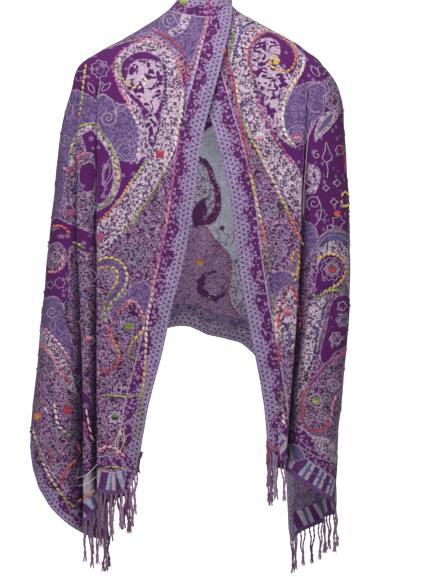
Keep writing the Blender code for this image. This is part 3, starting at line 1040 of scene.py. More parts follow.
def cluster(x: float, y: float, size: float, colours: str) -> Run:
    """Gives a small knot of stitches laid to and fro, as the heart of a flower.

    Args:
        x: its middle, across.
        y: its middle, down.
        size: its width.
        colours: the yarn's colours along it.

    Returns:
        The stitches as one run.
    """
    turns = [(-0.5, -0.25), (0.5, -0.35), (-0.45, 0.1), (0.5, 0.05), (-0.3, 0.42), (0.4, 0.4)]
    return Run(placed(turns, x, y, size, 20.0), colours, length=0.0064, width=0.0034, slant=0.0, pitch=0.6)


@dataclass(frozen=True)
class Thread:
    """A thin light thread of the pattern, drawn as one line.

    Args:
        points: places that it passes through, across and down.
        colour: the yarn's colour.
        width: how wide it is, in metres.
        view: where it is drawn from.
    """

    points: tuple
    colour: str = "silver"
    width: float = 0.0013
    view: Viewpoint = FRONT


@dataclass
class Shape:
    """A small modelled form that is repeated.

    Args:
        points: its points.
        faces: its faces.
    """

    points: np.ndarray
    faces: list[tuple[int, ...]]


def deselect_all() -> None:
    """Leaves nothing selected."""
    if bpy.context.object and bpy.context.object.mode != "OBJECT":
        bpy.ops.object.mode_set(mode="OBJECT")
    bpy.ops.object.select_all(action="DESELECT")


def take_shape(made: bpy.types.Object) -> Shape:
    """Takes an object's form and removes the object.

    Args:
        made: the object.

    Returns:
        Its form.
    """
    points = np.array([v.co[:] for v in made.data.vertices])
    faces = [tuple(f.vertices) for f in made.data.polygons]
    mesh = made.data
    bpy.data.objects.remove(made, do_unlink=True)
    bpy.data.meshes.remove(mesh)
    return Shape(points, faces)


def new_piece(name: str, points: np.ndarray, faces: np.ndarray | list, sharp: float = 50.0) -> bpy.types.Object:
    """Makes a piece from points and faces, shaded smooth.

    Args:
        name: its name.
        points: its points.
        faces: its faces, an array if all have as many corners.
        sharp: the angle past which an edge is sharp, in degrees.

    Returns:
        The object.
    """
    mesh = bpy.data.meshes.new(name)
    if isinstance(faces, np.ndarray):
        corners, starts = faces.ravel(), np.arange(0, faces.size, faces.shape[1])
    else:
        corners = np.fromiter((v for f in faces for v in f), np.int32)
        starts = np.concatenate([[0], np.cumsum([len(f) for f in faces])[:-1]])
    mesh.vertices.add(len(points))
    mesh.vertices.foreach_set("co", np.asarray(points, np.float32).ravel())
    mesh.loops.add(len(corners))
    mesh.loops.foreach_set("vertex_index", corners.astype(np.int32))
    mesh.polygons.add(len(starts))
    mesh.polygons.foreach_set("loop_start", starts.astype(np.int32))
    mesh.update(calc_edges=True)
    mesh.validate()
    mesh.shade_smooth()
    mesh.set_sharp_from_angle(angle=math.radians(sharp))
    made = bpy.data.objects.new(name, mesh)
    bpy.context.scene.collection.objects.link(made)
    return made


def set_attribute(made: bpy.types.Object, name: str, values: np.ndarray) -> None:
    """Gives each point of a piece a number, a vector or a colour.

    Args:
        made: the piece.
        name: the attribute's name.
        values: one row for each point.
    """
    kinds = {1: ("FLOAT", "value"), 3: ("FLOAT_VECTOR", "vector"), 4: ("FLOAT_COLOR", "color")}
    values = np.asarray(values, np.float32)
    kind, slot = kinds[1 if values.ndim == 1 else values.shape[1]]
    layer = made.data.attributes.new(name, kind, "POINT")
    layer.data.foreach_set(slot, values.ravel())


class Cloth:
    """The woven cloth, a thin shell in four stretches."""

    def __init__(self, drape: Drape, pattern: Pattern) -> None:
        """Takes the cloth's form and its woven pattern.

        Args:
            drape: the form.
            pattern: the pattern.
        """
        self.drape, self.pattern = drape, pattern

    def build(self, outside: bpy.types.Material, inside: bpy.types.Material) -> list[bpy.types.Object]:
        """Builds the four stretches.

        Args:
            outside: the finish of the patterned face.
            inside: the finish of the reverse.

        Returns:
            The pieces.
        """
        drape = self.drape
        left, right = drape.column(Side.LEFT, "side"), drape.column(Side.RIGHT, "side")
        spans = (
            ("cloth_left_front", 0, left, ("left_front",)),
            ("cloth_back_left", left, drape.spine, ("back",)),
            ("cloth_back_right", drape.spine, right, ("back",)),
            ("cloth_right_front", right, drape.width - 1, ("right_front",)),
        )
        pieces = [self._stretch(name, a, b, outside, inside) for name, a, b, _ in spans]
        for piece, (_, _, _, nodes) in zip(pieces, spans):
            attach(piece, "root")
            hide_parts(*nodes)
        return pieces

    def _stretch(
        self, name: str, first: int, last: int, outside: bpy.types.Material, inside: bpy.types.Material
    ) -> bpy.types.Object:
        """Builds one stretch as a closed shell.

        Args:
            name: its name.
            first: its first column.
            last: its last column.
            outside: the finish of the patterned face.
            inside: the finish of the reverse.

        Returns:
            The piece.
        """
        drape = self.drape
        span = slice(first, last + 1)
        grids = [drape.outer[:, span], drape.inner[:, span]]
        rows, columns = grids[0].shape[:2]
        count = rows * columns
        index = np.arange(count).reshape(rows, columns)
        outer = grid_quads(rows, columns)
        rims = []
        for rim in (index[0], index[:, -1], index[-1, ::-1], index[::-1, 0]):
            p, q = rim[:-1], rim[1:]
            rims.append(np.stack([q, p, p + count, q + count], axis=-1))
        faces = np.concatenate([outer, outer[:, ::-1] + count, *rims])
        points = np.concatenate([g.reshape(-1, 3) for g in grids])
        piece = new_piece(name, points, faces)
        self._measure(piece, span)
        piece.data.materials.append(outside)
        piece.data.materials.append(inside)
        kinds = np.zeros(len(faces), np.int32)
        kinds[len(outer) : 2 * len(outer)] = 1
        piece.data.polygons.foreach_set("material_index", kinds)
        return piece

    def _measure(self, piece: bpy.types.Object, span: slice) -> None:
        """Gives the piece its map and the attributes that its finish reads.

        Args:
            piece: the piece.
            span: its columns of the cloth.
        """
        drape, pattern = self.drape, self.pattern
        flat = np.stack([drape.across[:, span], drape.down[:, span]], axis=-1).reshape(-1, 2)
        flat = np.concatenate([flat, flat])
        layer = piece.data.uv_layers.new(name="cloth")
        corners = np.empty(len(piece.data.loops), np.int32)
        piece.data.loops.foreach_get("vertex_index", corners)
        layer.data.foreach_set("uv", flat[corners].astype(np.float32).ravel())
        for name in ("edge", "edge_along", "end", "end_along", "valley_shade"):
            values = getattr(drape, name)[:, span].ravel()
            set_attribute(piece, name, np.concatenate([values, values]))
        for ground in Ground:
            sides = [pattern.depths[ground][:, span].ravel(), pattern.reverse[ground][:, span].ravel()]
            set_attribute(piece, ground.value, np.concatenate(sides))


class Stitching:
    """The thick yarn and the thin threads that are stitched over the cloth."""

    JUMP = 0.008
    THREAD_STEP = 0.0022
    THREAD_RISE = 0.0006
    THREAD_GAP = 0.00015

    def __init__(self, drape: Drape, colours: dict[str, str]) -> None:
        """Takes the cloth and the yarn's colours.

        Args:
            drape: the cloth's form.
            colours: the yarn's colours by name.
        """
        self.tree, self.wall = drape.tree, drape.sizes.wall
        self.colours = {name: np.array(to_linear(code)) for name, code in colours.items()}
        self.base = self._spindle()
        self.random = np.random.default_rng(7)
        self.parts: list[tuple[np.ndarray, np.ndarray, np.ndarray]] = []
        self.lines: list[np.ndarray] = []
        self.line_faces: list[np.ndarray] = []
        self.line_shades: list[np.ndarray] = []
        self.line_lay: list[np.ndarray] = []

    @staticmethod
    def _spindle() -> Shape:
        """Models one stitch, 1 long and 1 thick, pointed at both ends, and lying on Z = 0.

        Returns:
            Its form.
        """
        deselect_all()
        bpy.ops.mesh.primitive_uv_sphere_add(segments=6, ring_count=4, radius=0.5)
        made = bpy.context.object
        bpy.ops.object.mode_set(mode="EDIT")
        bpy.ops.mesh.select_all(action="SELECT")
        bpy.ops.transform.rotate(value=math.pi / 2, orient_axis="Y", center_override=(0.0, 0.0, 0.0))
        bpy.ops.transform.resize(value=(1.0, 1.0, 0.72), center_override=(0.0, 0.0, 0.0))
        bpy.ops.object.mode_set(mode="OBJECT")
        return take_shape(made)

    def cast(self, run: Run | Thread) -> list[tuple[np.ndarray, np.ndarray]]:
        """Finds where a run or a thread lies on the cloth.

        Args:
            run: the run or the thread.

        Returns:
            Its stretches, each the places and the outward ways along it.
        """
        stretches, places, ways = [], [], []
        for across, down in open_curve(run.points):
            start, aim = run.view.ray(float(across), float(down))
            spot, normal, _, _ = self.tree.ray_cast(start, aim)
            if spot is not None and run.view.turn and (Vector(EYE) - spot).normalized().dot(normal) > SEWN_LIMIT:
                spot = None
            jump = places and spot is not None and np.linalg.norm(places[-1] - np.array(spot)) > self.JUMP
            if spot is None or jump:
                if len(places) > 3:
                    stretches.append((np.array(places), np.array(ways)))
                places, ways = [], []
            if spot is not None:
                outside = normal.dot(aim) < 0
                way = np.array(normal) * (1.0 if outside else -1.0)
                places.append(np.array(spot) + (0.0 if outside else self.wall) * way)
                ways.append(way)
        if len(places) > 3:
            stretches.append((np.array(places), np.array(ways)))
        return stretches

    def sew(self, run: Run) -> None:
        """Sews one run of stitches.

        Args:
            run: the run.
        """
        shades = [self.colours[name] for name in run.colours.split()]
        for places, ways in self.cast(run):
            far = run_length(places)
            number = max(1, round(far[-1] / (run.length * run.pitch)))
            at = (np.arange(number) + 0.5) / number * far[-1]
            middle, up, along = (read_line(at, far, p) for p in (places, ways, np.gradient(places, axis=0)))
            share = (np.arange(number) + 0.5) / number * (len(shades) - 1)
            self._lay(run, middle, up, along, np.array([self._blend(shades, s) for s in share]))

    def _blend(self, shades: list[np.ndarray], share: float) -> np.ndarray:
        """Picks a colour between two neighbours of a list, a little lighter or darker.

        Args:
            shades: the list.
            share: the place in the list, counted in colours.

        Returns:
            The colour.
        """
        low = min(int(share), max(len(shades) - 2, 0))
        high = min(low + 1, len(shades) - 1)
        t = float(ease((share - low - 0.25) * 2.0))
        mixed = shades[low] * (1 - t) + shades[high] * t
        mixed = mixed * self.random.uniform(0.78, 1.18)
        mixed[3] = 1.0
        return np.clip(mixed, 0.0, 1.0)

    def _lay(
        self, run: Run, middle: np.ndarray, up: np.ndarray, along: np.ndarray, shades: np.ndarray
    ) -> None:
        """Lays one spindle at each place.

        Args:
            run: the run that they belong to.
            middle: their places.
            up: the outward ways.
            along: the ways in which the line runs.
            shades: their colours.
        """
        up = unit(up)
        along = unit(along - (along * up).sum(axis=1, keepdims=True) * up)
        cross = np.cross(up, along)
        count = len(middle)
        turn = np.radians(run.slant + self.random.normal(0.0, 5.0, count))[:, None]
        ahead = along * np.cos(turn) + cross * np.sin(turn)
        side = np.cross(up, ahead)
        long = run.length * self.random.uniform(0.9, 1.12, count)
        thick = run.width * self.random.uniform(0.88, 1.1, count)
        base = self.base.points
        bow = 0.16 - 1.1 * base[:, 0] ** 2
        x = base[:, 0][None, :] * long[:, None]
        y = base[:, 1][None, :] * thick[:, None]
        z = (base[:, 2] + bow)[None, :] * thick[:, None]
        points = middle[:, None, :] + x[..., None] * ahead[:, None] + y[..., None] * side[:, None]
        points = points + z[..., None] * up[:, None]
        lay = np.stack([x, np.broadcast_to(base[:, 1], x.shape), np.broadcast_to(base[:, 2], x.shape)], axis=-1)
        self.parts.append((points, lay, np.repeat(shades[:, None, :], len(base), axis=1)))

    def trace(self, thread: Thread) -> None:
        """Lays one thin thread.

        Args:
            thread: the thread.
        """
        shade = self.colours[thread.colour]
        for places, ways in self.cast(thread):
            far = run_length(places)
            at = np.linspace(0.0, far[-1], max(2, int(far[-1] / self.THREAD_STEP) + 1))
            middle, up = read_line(at, far, places), unit(read_line(at, far, ways))
            cross = unit(np.cross(up, np.gradient(middle, axis=0)))
            half = 0.5 * thread.width
            rows = [middle + half * cross, middle + self.THREAD_RISE * up, middle - half * cross]
            points = np.stack(rows, axis=1) + self.THREAD_GAP * up[:, None]
            start = sum(len(p) for p in self.lines)
            index = start + np.arange(3 * len(at)).reshape(-1, 3)
            a, b = index[:-1], index[1:]
            for k in range(3):
                m = (k + 1) % 3
                self.line_faces.append(np.stack([a[:, k], b[:, k], b[:, m], a[:, m]], axis=-1))
            self.lines.append(points.reshape(-1, 3))
            self.line_shades.append(np.repeat(shade[None] * self.random.uniform(0.9, 1.1), 3 * len(at), axis=0))
            lay = np.zeros((3 * len(at), 3))
            lay[:, 0] = np.repeat(at, 3)
            lay[:, 1] = np.tile((0.5, 0.0, -0.5), len(at))
            self.line_lay.append(lay)

    def build_lines(self, name: str, finish: bpy.types.Material) -> bpy.types.Object:
        """Joins all threads into one piece.

        Args:
            name: its name.
            finish: the yarn's finish.

        Returns:
            The piece.
        """
        piece = new_piece(name, np.concatenate(self.lines), np.concatenate(self.line_faces), 80.0)
        shades = np.clip(np.concatenate(self.line_shades), 0.0, 1.0)
        return self._finished(piece, shades, np.concatenate(self.line_lay), finish)

    @staticmethod
    def _finished(
        piece: bpy.types.Object, shades: np.ndarray, lay: np.ndarray, finish: bpy.types.Material
    ) -> bpy.types.Object:
        """Colours a piece of yarn and says what it is.

        Args:
            piece: the piece.
            shades: the yarn's colour at each point.
            lay: how each point lies in the yarn.
            finish: the yarn's finish.

        Returns:
            The piece.
        """
        set_attribute(piece, "yarn", shades)
        set_attribute(piece, "lay", lay)
        piece.data.materials.append(finish)
        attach(piece, "root")
        return piece

    def build(self, name: str, finish: bpy.types.Material) -> bpy.types.Object:
        """Joins all that was sewn so far into one piece.

        Args:
            name: its name.
            finish: the yarn's finish.

        Returns:
            The piece.
        """
        points = np.concatenate([p for p, _, _ in self.parts])
        lay = np.concatenate([q for _, q, _ in self.parts]).reshape(-1, 3)
        shades = np.concatenate([s for _, _, s in self.parts]).reshape(-1, 4)
        size = len(self.base.points)
        faces = [tuple(v + k * size for v in f) for k in range(len(points)) for f in self.base.faces]
        return self._finished(new_piece(name, points.reshape(-1, 3), faces, 80.0), shades, lay, finish)


@dataclass(frozen=True)
class FringeSizes:
    """Sizes of the knotted fringe.

    Args:
        pitch: from one tassel to the next along the hem.
        drop: how far a tassel hangs.
        knot_at: the share of the drop at which its legs are knotted.
        spread: how far apart its two legs start.
        leg: a leg's radius.
        twist: how far a leg runs down in one turn of its plies.
        knot: a knot's width.
        ends: how many loose ends hang below a knot.
    """

    pitch: float = 0.0185
    drop: float = 0.068
    knot_at: float = 0.79
    spread: float = 0.0088
    leg: float = 0.00150
    twist: float = 0.0090
    knot: float = 0.0074
    ends: int = 6


class Fringe:
    """One end's fringe: pairs of twisted legs, each pair knotted above a small tuft."""

    def __init__(self, sizes: FringeSizes, hem: np.ndarray, seed: int) -> None:
        """Takes the hem that the fringe hangs from.

        Args:
            sizes: the fringe's sizes.
            hem: the hem's points.
            seed: the start of its random draws.
        """
        self.sizes, self.hem = sizes, hem
        self.random = np.random.default_rng(seed)
        self.points: list[np.ndarray] = []
        self.faces: list[tuple[int, ...]] = []
        self.lay: list[np.ndarray] = []
        self.shades: list[np.ndarray] = []
        self.knot = self._model_knot()

    @staticmethod
    def _model_knot() -> Shape:
        """Models a knot, 1 wide: a ball with a pinched waist.

        Returns:
            Its form.
        """
        deselect_all()
        bpy.ops.mesh.primitive_uv_sphere_add(segments=8, ring_count=6, radius=0.5)
        made = bpy.context.object
        for v in made.data.vertices:
            waist = 1.0 - 0.18 * math.exp(-((v.co.z / 0.12) ** 2))
            v.co.x *= waist
            v.co.y *= 0.86 * waist
        return take_shape(made)

    def _add(self, points: np.ndarray, faces: list[tuple[int, ...]], lay: np.ndarray, shade: np.ndarray) -> None:
        """Adds a form to the fringe.

        Args:
            points: its points.
            faces: its faces.
            lay: how each point lies in its yarn.
            shade: its colour.
        """
        start = sum(len(p) for p in self.points)
        self.points.append(points)
        self.faces += [tuple(start + v for v in f) for f in faces]
        self.lay.append(lay)
        self.shades.append(np.repeat(shade[None], len(points), axis=0))

    def _tube(self, path: np.ndarray, radii: np.ndarray, sides: int, plies: float, shade: np.ndarray) -> None:
        """Adds a yarn along a path that runs down.

        Args:
            path: its middle line.
            radii: its radius at each point.
            sides: the number of its sides.
            plies: how much its two plies stand out.
            shade: its colour.
        """
        run = run_length(path)
        angle = np.arange(sides) / sides * 2 * math.pi
        turn = 2 * math.pi * run / self.sizes.twist * 0.5
        bulge = 1.0 + plies * np.cos(2 * (angle[None] - turn[:, None]))
        radius = radii[:, None] * bulge
        x = path[:, 0, None] + radius * np.cos(angle)
        y = path[:, 1, None] + radius * np.sin(angle)
        z = np.repeat(path[:, 2, None], sides, axis=1)
        points = np.stack([x, y, z], axis=-1).reshape(-1, 3)
        lay = np.stack([np.repeat(run[:, None], sides, axis=1), 0.5 * np.cos(angle)[None].repeat(len(run), 0),
                        0.5 * np.sin(angle)[None].repeat(len(run), 0)], axis=-1).reshape(-1, 3)
        faces = []
        for r in range(len(path) - 1):
            for k in range(sides):
                m = (k + 1) % sides
                a, b = r * sides, (r + 1) * sides
                faces.append((a + m, a + k, b + k, b + m))
        faces.append(tuple(range(sides)))
        faces.append(tuple(reversed(range(len(points) - sides, len(points)))))
        self._add(points, faces, lay, shade)

    def hang(self, shades: list[np.ndarray], bare: tuple | None = None) -> None:
        """Hangs a tassel at each pitch of the hem.

        Args:
            shades: the colours that the tassels take.
            bare: two corners of a box in which no tassel is hung, where the fringe is tucked behind the hem.
        """
        sizes = self.sizes
        run = run_length(self.hem)
        number = int(run[-1] / sizes.pitch)
        for k in range(number):
            at = (k + 0.5) / number * run[-1]
            spots = (np.clip(at + offset * sizes.spread, 0.0, run[-1]) for offset in (-0.5, 0.5))
            roots = [read_line(spot, run, self.hem) for spot in spots]
            if bare and all(low < v < high for v, low, high in zip(roots[0], *bare)):
                continue
            shade = shades[int(self.random.integers(len(shades)))] * self.random.uniform(0.8, 1.2)
            self._tassel(roots, shade, sizes.drop * self.random.uniform(0.80, 1.03))

    def hang_one(self, spot: np.ndarray, drop: float, shade: np.ndarray) -> None:
        """Hangs a tassel on its own.

        Args:
            spot: what it hangs from.
            drop: how far it hangs.
            shade: its colour.
        """
        self._tassel([spot, spot + (0.0025, 0.0, 0.0)], shade, drop)

    def _tassel(self, roots: list[np.ndarray], shade: np.ndarray, drop: float) -> None:
        """Hangs one tassel.

        Args:
            roots: where its two legs start.
            shade: its colour.
            drop: how far it hangs.
        """
        sizes, random = self.sizes, self.random
        middle = 0.5 * (roots[0] + roots[1])
        lean = np.array([random.normal(0, 0.0030), random.normal(0, 0.0025), 0.0])
        sway, phase = random.uniform(0.0006, 0.0022), random.uniform(0, 2 * math.pi)
        knot = middle + lean + np.array([0.0, 0.0, -drop * sizes.knot_at])
        for root in roots:
            t = np.linspace(0.0, 1.0, 13)[:, None]
            start = root + np.array([0.0, 0.0, 0.0008])
            path = start + (knot - start) * t
            path[:, :2] += (0.10 * np.sin(math.pi * t) * (root - middle)[None, :])[:, :2]
            path[:, :1] += sway * np.sin(7.0 * t + phase) * np.sin(math.pi * t)
            self._tube(path, np.full(13, sizes.leg), 8, 0.22, shade)
        spun = self.knot.points * sizes.knot * np.array([1.0, 1.0, 1.05])
        spun[:, :2] = spin(spun, random.uniform(0, math.pi))
        self._add(knot + spun, self.knot.faces, self.knot.points.copy(), shade * 1.05)
        rest = drop * (1.0 - sizes.knot_at)
        for k in range(sizes.ends):
            a = 2 * math.pi * k / sizes.ends + random.uniform(-0.4, 0.4)
            out = np.array([math.cos(a), math.sin(a), 0.0])
            t = np.linspace(0.0, 1.0, 5)[:, None]
            fall = rest * random.uniform(0.8, 1.06)
            path = knot + out * (0.0009 + 0.0026 * t**0.8 * random.uniform(0.6, 1.2))
            path = path - np.array([0.0, 0.0, 1.0]) * (0.3 * sizes.knot + fall * t)
            self._tube(path, np.linspace(0.0011, 0.0007, 5), 5, 0.0, shade * random.uniform(0.85, 1.15))

    def build(self, name: str, node: str, finish: bpy.types.Material) -> bpy.types.Object:
        """Makes the fringe one piece.

        Args:
            name: its name.
            node: the solid that it stands for.
            finish: its finish.

        Returns:
            The piece.
        """
        piece = new_piece(name, np.concatenate(self.points), self.faces, 80.0)
        set_attribute(piece, "lay", np.concatenate(self.lay))
        shades = np.clip(np.concatenate(self.shades), 0.0, 1.0)
        shades[:, 3] = 1.0
        set_attribute(piece, "yarn", shades)
        piece.data.materials.append(finish)
        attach(piece, "root")
        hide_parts(node)
        return piece


# What an input of a node takes.
Value = bpy.types.NodeSocket | float | tuple


class Graph:
    """Adds and links the nodes of one node tree."""

    def __init__(self, tree: bpy.types.NodeTree) -> None:
        """Takes the tree."""
        self.tree = tree

    def add(self, kind: str, inputs: dict | None = None, **settings: object) -> bpy.types.Node:
        """Adds a node.

        Args:
            kind: its type.
            inputs: values or sockets for its inputs, by name or place.
            settings: its other settings.

        Returns:
            The node.
        """
        node = self.tree.nodes.new(kind)
        for name, value in settings.items():
            setattr(node, name, value)
        for name, value in (inputs or {}).items():
            self.feed(node.inputs[name], value)
        return node

    def feed(self, socket: bpy.types.NodeSocket, value: Value) -> None:
        """Links a socket to an input, or sets the input's value.

        Args:
            socket: the input.
            value: the other socket or the value.
        """
        if isinstance(value, bpy.types.NodeSocket):
            self.tree.links.new(value, socket)
        else:
            socket.default_value = value

    def math(
        self, operation: str, a: Value, b: Value = 0.0, c: Value = 0.0, clamp: bool = False
    ) -> bpy.types.NodeSocket:
        """Adds a sum, a product or another operation on numbers."""
        node = self.add("ShaderNodeMath", {0: a, 1: b, 2: c}, operation=operation, use_clamp=clamp)
        return node.outputs[0]

    def vector(
        self, operation: str, a: Value, b: Value = (0.0, 0.0, 0.0), scale: float = 1.0
    ) -> bpy.types.NodeSocket:
        """Adds an operation on vectors.

        Args:
            operation: its name.
            a: the first vector.
            b: the second.
            scale: the number that SCALE multiplies by.

        Returns:
            The result.
        """
        node = self.add("ShaderNodeVectorMath", {0: a, 1: b}, operation=operation)
        if operation == "SCALE":
            self.feed(node.inputs["Scale"], scale)
        return node.outputs["Vector"]

    def mix(self, share: Value, a: Value, b: Value, blend: str = "MIX") -> bpy.types.NodeSocket:
        """Mixes two colours.

        Args:
            share: how much of the second there is.
            a: the first.
            b: the second.
            blend: how they mix.

        Returns:
            The mixed colour.
        """
        node = self.add("ShaderNodeMix", data_type="RGBA", blend_type=blend)
        for index, value in ((0, share), (6, a), (7, b)):
            self.feed(node.inputs[index], value)
        return node.outputs[2]

    def step(self, value: Value, low: float, high: float) -> bpy.types.NodeSocket:
        """Gives 0 at low, 1 at high, and a smooth step between.

        Args:
            value: what is compared.
            low: where the step starts.
            high: where it ends, which may be less than low.

        Returns:
            The step.
        """
        inputs = {"Value": value, "From Min": low, "From Max": high}
        if low > high:
            inputs = {"Value": value, "From Min": high, "From Max": low, "To Min": 1.0, "To Max": 0.0}
        return self.add("ShaderNodeMapRange", inputs, interpolation_type="SMOOTHSTEP").outputs[0]

    def group(self, tree: bpy.types.NodeTree, inputs: dict) -> bpy.types.Node:
        """Places a node group with its own values."""
        return self.add("ShaderNodeGroup", inputs, node_tree=tree)

    def attribute(self, name: str, output: str = "Fac") -> bpy.types.NodeSocket:
        """Reads an attribute of the piece."""
        return self.add("ShaderNodeAttribute", attribute_name=name).outputs[output]

    def noise(self, place: Value, scale: float, detail: float = 2.0, output: str = "Fac") -> bpy.types.NodeSocket:
        """Adds a noise texture."""
        inputs = {"Vector": place, "Scale": scale, "Detail": detail, "Roughness": 0.55}
        return self.add("ShaderNodeTexNoise", inputs).outputs[output]

    def cells(self, place: Value, scale: Value, scatter: float) -> bpy.types.Node:
        """Adds a cell texture."""
        return self.add("ShaderNodeTexVoronoi", {"Vector": place, "Scale": scale, "Randomness": scatter})


def new_group(
    name: str, inputs: dict[str, object], outputs: dict[str, str]
) -> tuple[bpy.types.NodeTree, Graph, dict]:
    """Starts a node group.

    Args:
        name: its name.
        inputs: the default of each input by name, a number or three of them.
        outputs: the kind of each output by name.

    Returns:
        The group, the graph that adds its nodes, and its inputs' sockets by name.
    """
    tree = bpy.data.node_groups.new(name, "ShaderNodeTree")
    for label, value in inputs.items():
        kind = "NodeSocketFloat" if isinstance(value, float) else "NodeSocketVector"
        socket = tree.interface.new_socket(name=label, in_out="INPUT", socket_type=kind)
        socket.default_value = value
    for label, kind in outputs.items():
        tree.interface.new_socket(name=label, in_out="OUTPUT", socket_type=kind)
    graph = Graph(tree)
    source = graph.add("NodeGroupInput")
    return tree, graph, {s.name: s for s in source.outputs if s.name}


class Ornaments:
    """The woven ornaments that the finishes share, each a node group."""

    def __init__(self) -> None:
        """Builds the groups."""
        self.lattice = self._lattice()
        self.blots = self._blots()
        self.lace = self._lace()
        self.leafage = self._leafage()
        self.flower = self._flower()
        self.weave = self._weave()

    def _lattice(self) -> bpy.types.NodeTree:
        """A honeycomb as a height, 3 in the middle of each cell and -1.5 at its corners.

        Returns:
            The node group.
        """
        tree, g, s = new_group("lattice", {"Place": (0.0, 0.0, 0.0), "Pitch": 0.007}, {"Height": "NodeSocketFloat"})
        split = g.add("ShaderNodeSeparateXYZ", {0: s["Place"]})
        waves = []
        for degrees in (0.0, 120.0, 240.0):
            a = math.radians(degrees)
            way = g.math("ADD", g.math("MULTIPLY", split.outputs[0], math.cos(a)),
                         g.math("MULTIPLY", split.outputs[1], math.sin(a)))
            waves.append(g.math("COSINE", g.math("MULTIPLY", g.math("DIVIDE", way, s["Pitch"]), 2 * math.pi)))
        g.add("NodeGroupOutput", {"Height": g.math("ADD", g.math("ADD", waves[0], waves[1]), waves[2])})
        return tree

    def _blots(self) -> bpy.types.NodeTree:
        """Small close round blots with a net of ground between them: 1 inside a blot.

        Returns:
            The node group.
        """
        inputs = {"Place": (0.0, 0.0, 0.0), "Scale": 170.0, "Size": 0.42}
        tree, g, s = new_group("blots", inputs, {"Mask": "NodeSocketFloat"})
        warp = g.vector("SUBTRACT", g.noise(s["Place"], 260.0, 1.0, "Color"), (0.5, 0.5, 0.5))
        cells = g.cells(g.vector("ADD", s["Place"], g.vector("SCALE", warp, scale=0.005)), s["Scale"], 0.8)
        random = g.add("ShaderNodeSeparateColor", {0: cells.outputs["Color"]})
        size = g.math("MULTIPLY", s["Size"], g.math("MULTIPLY_ADD", random.outputs[0], 0.7, 0.65))
        g.add("NodeGroupOutput", {"Mask": g.step(g.math("SUBTRACT", size, cells.outputs["Distance"]), -0.07, 0.07)})
        return tree

    def _lace(self) -> bpy.types.NodeTree:
        """Curling lines that run side by side, as of tendrils: 1 in the middle of a line.

        Returns:
            The node group.
        """
        inputs = {"Place": (0.0, 0.0, 0.0), "Scale": 70.0, "Turns": 5.0, "Width": 0.2}
        tree, g, s = new_group("lace", inputs, {"Mask": "NodeSocketFloat"})
        swirl = g.add("ShaderNodeTexNoise", {"Vector": s["Place"], "Scale": s["Scale"], "Detail": 1.2,
                                             "Roughness": 0.45, "Distortion": 0.9})
        phase = g.math("FRACT", g.math("MULTIPLY", swirl.outputs["Fac"], s["Turns"]))
        off = g.math("ABSOLUTE", g.math("SUBTRACT", phase, 0.5))
        over = g.math("DIVIDE", g.math("SUBTRACT", s["Width"], off), 0.10)
        g.add("NodeGroupOutput", {"Mask": g.math("ADD", over, 0.5, clamp=True)})
        return tree

    def _leafage(self) -> bpy.types.NodeTree:
        """Bold jagged leaves that interlock with the ground between them.

        Returns:
            The node group.
        """
        tree, g, s = new_group("leafage", {"Place": (0.0, 0.0, 0.0), "Scale": 62.0}, {"Mask": "NodeSocketFloat"})
        swirl = g.add("ShaderNodeTexNoise", {"Vector": s["Place"], "Scale": s["Scale"], "Detail": 1.6,
                                             "Roughness": 0.5, "Distortion": 1.6})
        g.add("NodeGroupOutput", {"Mask": g.step(swirl.outputs["Fac"], 0.475, 0.505)})
        return tree

    def _flower(self) -> bpy.types.NodeTree:
        """Scattered small flowers with rounded petals.

        Returns:
            The node group.
        """
        inputs = {"Place": (0.0, 0.0, 0.0), "Scale": 62.0, "Petals": 5.0, "Size": 0.34}
        tree, g, s = new_group("flower", inputs, {"Mask": "NodeSocketFloat"})
        cells = g.cells(s["Place"], s["Scale"], 0.75)
        split = g.add("ShaderNodeSeparateXYZ", {0: g.vector("SUBTRACT", s["Place"], cells.outputs["Position"])})
        random = g.add("ShaderNodeSeparateColor", {0: cells.outputs["Color"]})
        angle = g.math("ARCTAN2", split.outputs[1], split.outputs[0])
        turned = g.math("MULTIPLY_ADD", random.outputs[0], 6.0, g.math("MULTIPLY", angle, s["Petals"]))
        reach = g.math("MULTIPLY_ADD", g.math("COSINE", turned), 0.26, 1.0)
        size = g.math("MULTIPLY", s["Size"], g.math("MULTIPLY_ADD", random.outputs[1], 0.5, 0.65))
        depth = g.math("SUBTRACT", g.math("MULTIPLY", reach, size), cells.outputs["Distance"])
        g.add("NodeGroupOutput", {"Mask": g.step(depth, -0.04, 0.04)})
        return tree

    def _weave(self) -> bpy.types.NodeTree:
        """The threads: uneven tone, and the height of the twill.

        Returns:
            The node group.
        """
        outputs = {"Tone": "NodeSocketFloat", "Height": "NodeSocketFloat"}
        tree, g, s = new_group("weave", {"Place": (0.0, 0.0, 0.0)}, outputs)
        fine = g.noise(g.vector("MULTIPLY", s["Place"], (560.0, 560.0, 380.0)), 1.0, 2.0)
        coarse = g.noise(g.vector("MULTIPLY", s["Place"], (40.0, 40.0, 22.0)), 1.0, 3.0)
        split = g.add("ShaderNodeSeparateXYZ", {0: s["Place"]})
        twill = g.math("SINE", g.math("MULTIPLY", g.math("ADD", split.outputs[0], split.outputs[1]), 5200.0))
        tone = g.math("MULTIPLY_ADD", g.math("SUBTRACT", fine, 0.5), 1.7, 1.0)
        tone = g.math("MULTIPLY_ADD", g.math("SUBTRACT", coarse, 0.5), 0.6, tone)
        height = g.math("MULTIPLY_ADD", twill, 0.15, g.math("MULTIPLY", fine, 0.7))
        g.add("NodeGroupOutput", {"Tone": tone, "Height": height})
        return tree


class Texture(Enum):
    """How a ground is patterned."""

    LACE = "fine light lines"
    MARKS = "dark marks on a light ground"
    FINE = "a quiet ground with faint lines"
    PLAIN = "a plain ground with small flowers"
    LEAVES = "bold leaves"


@dataclass(frozen=True)
class Tint:
    """The two colours of a ground and how they meet.

    Args:
        base: the ground's own colour.
        mark: the colour of what is on it.
        texture: how it is patterned.
    """

    base: str
    mark: str
    texture: Texture


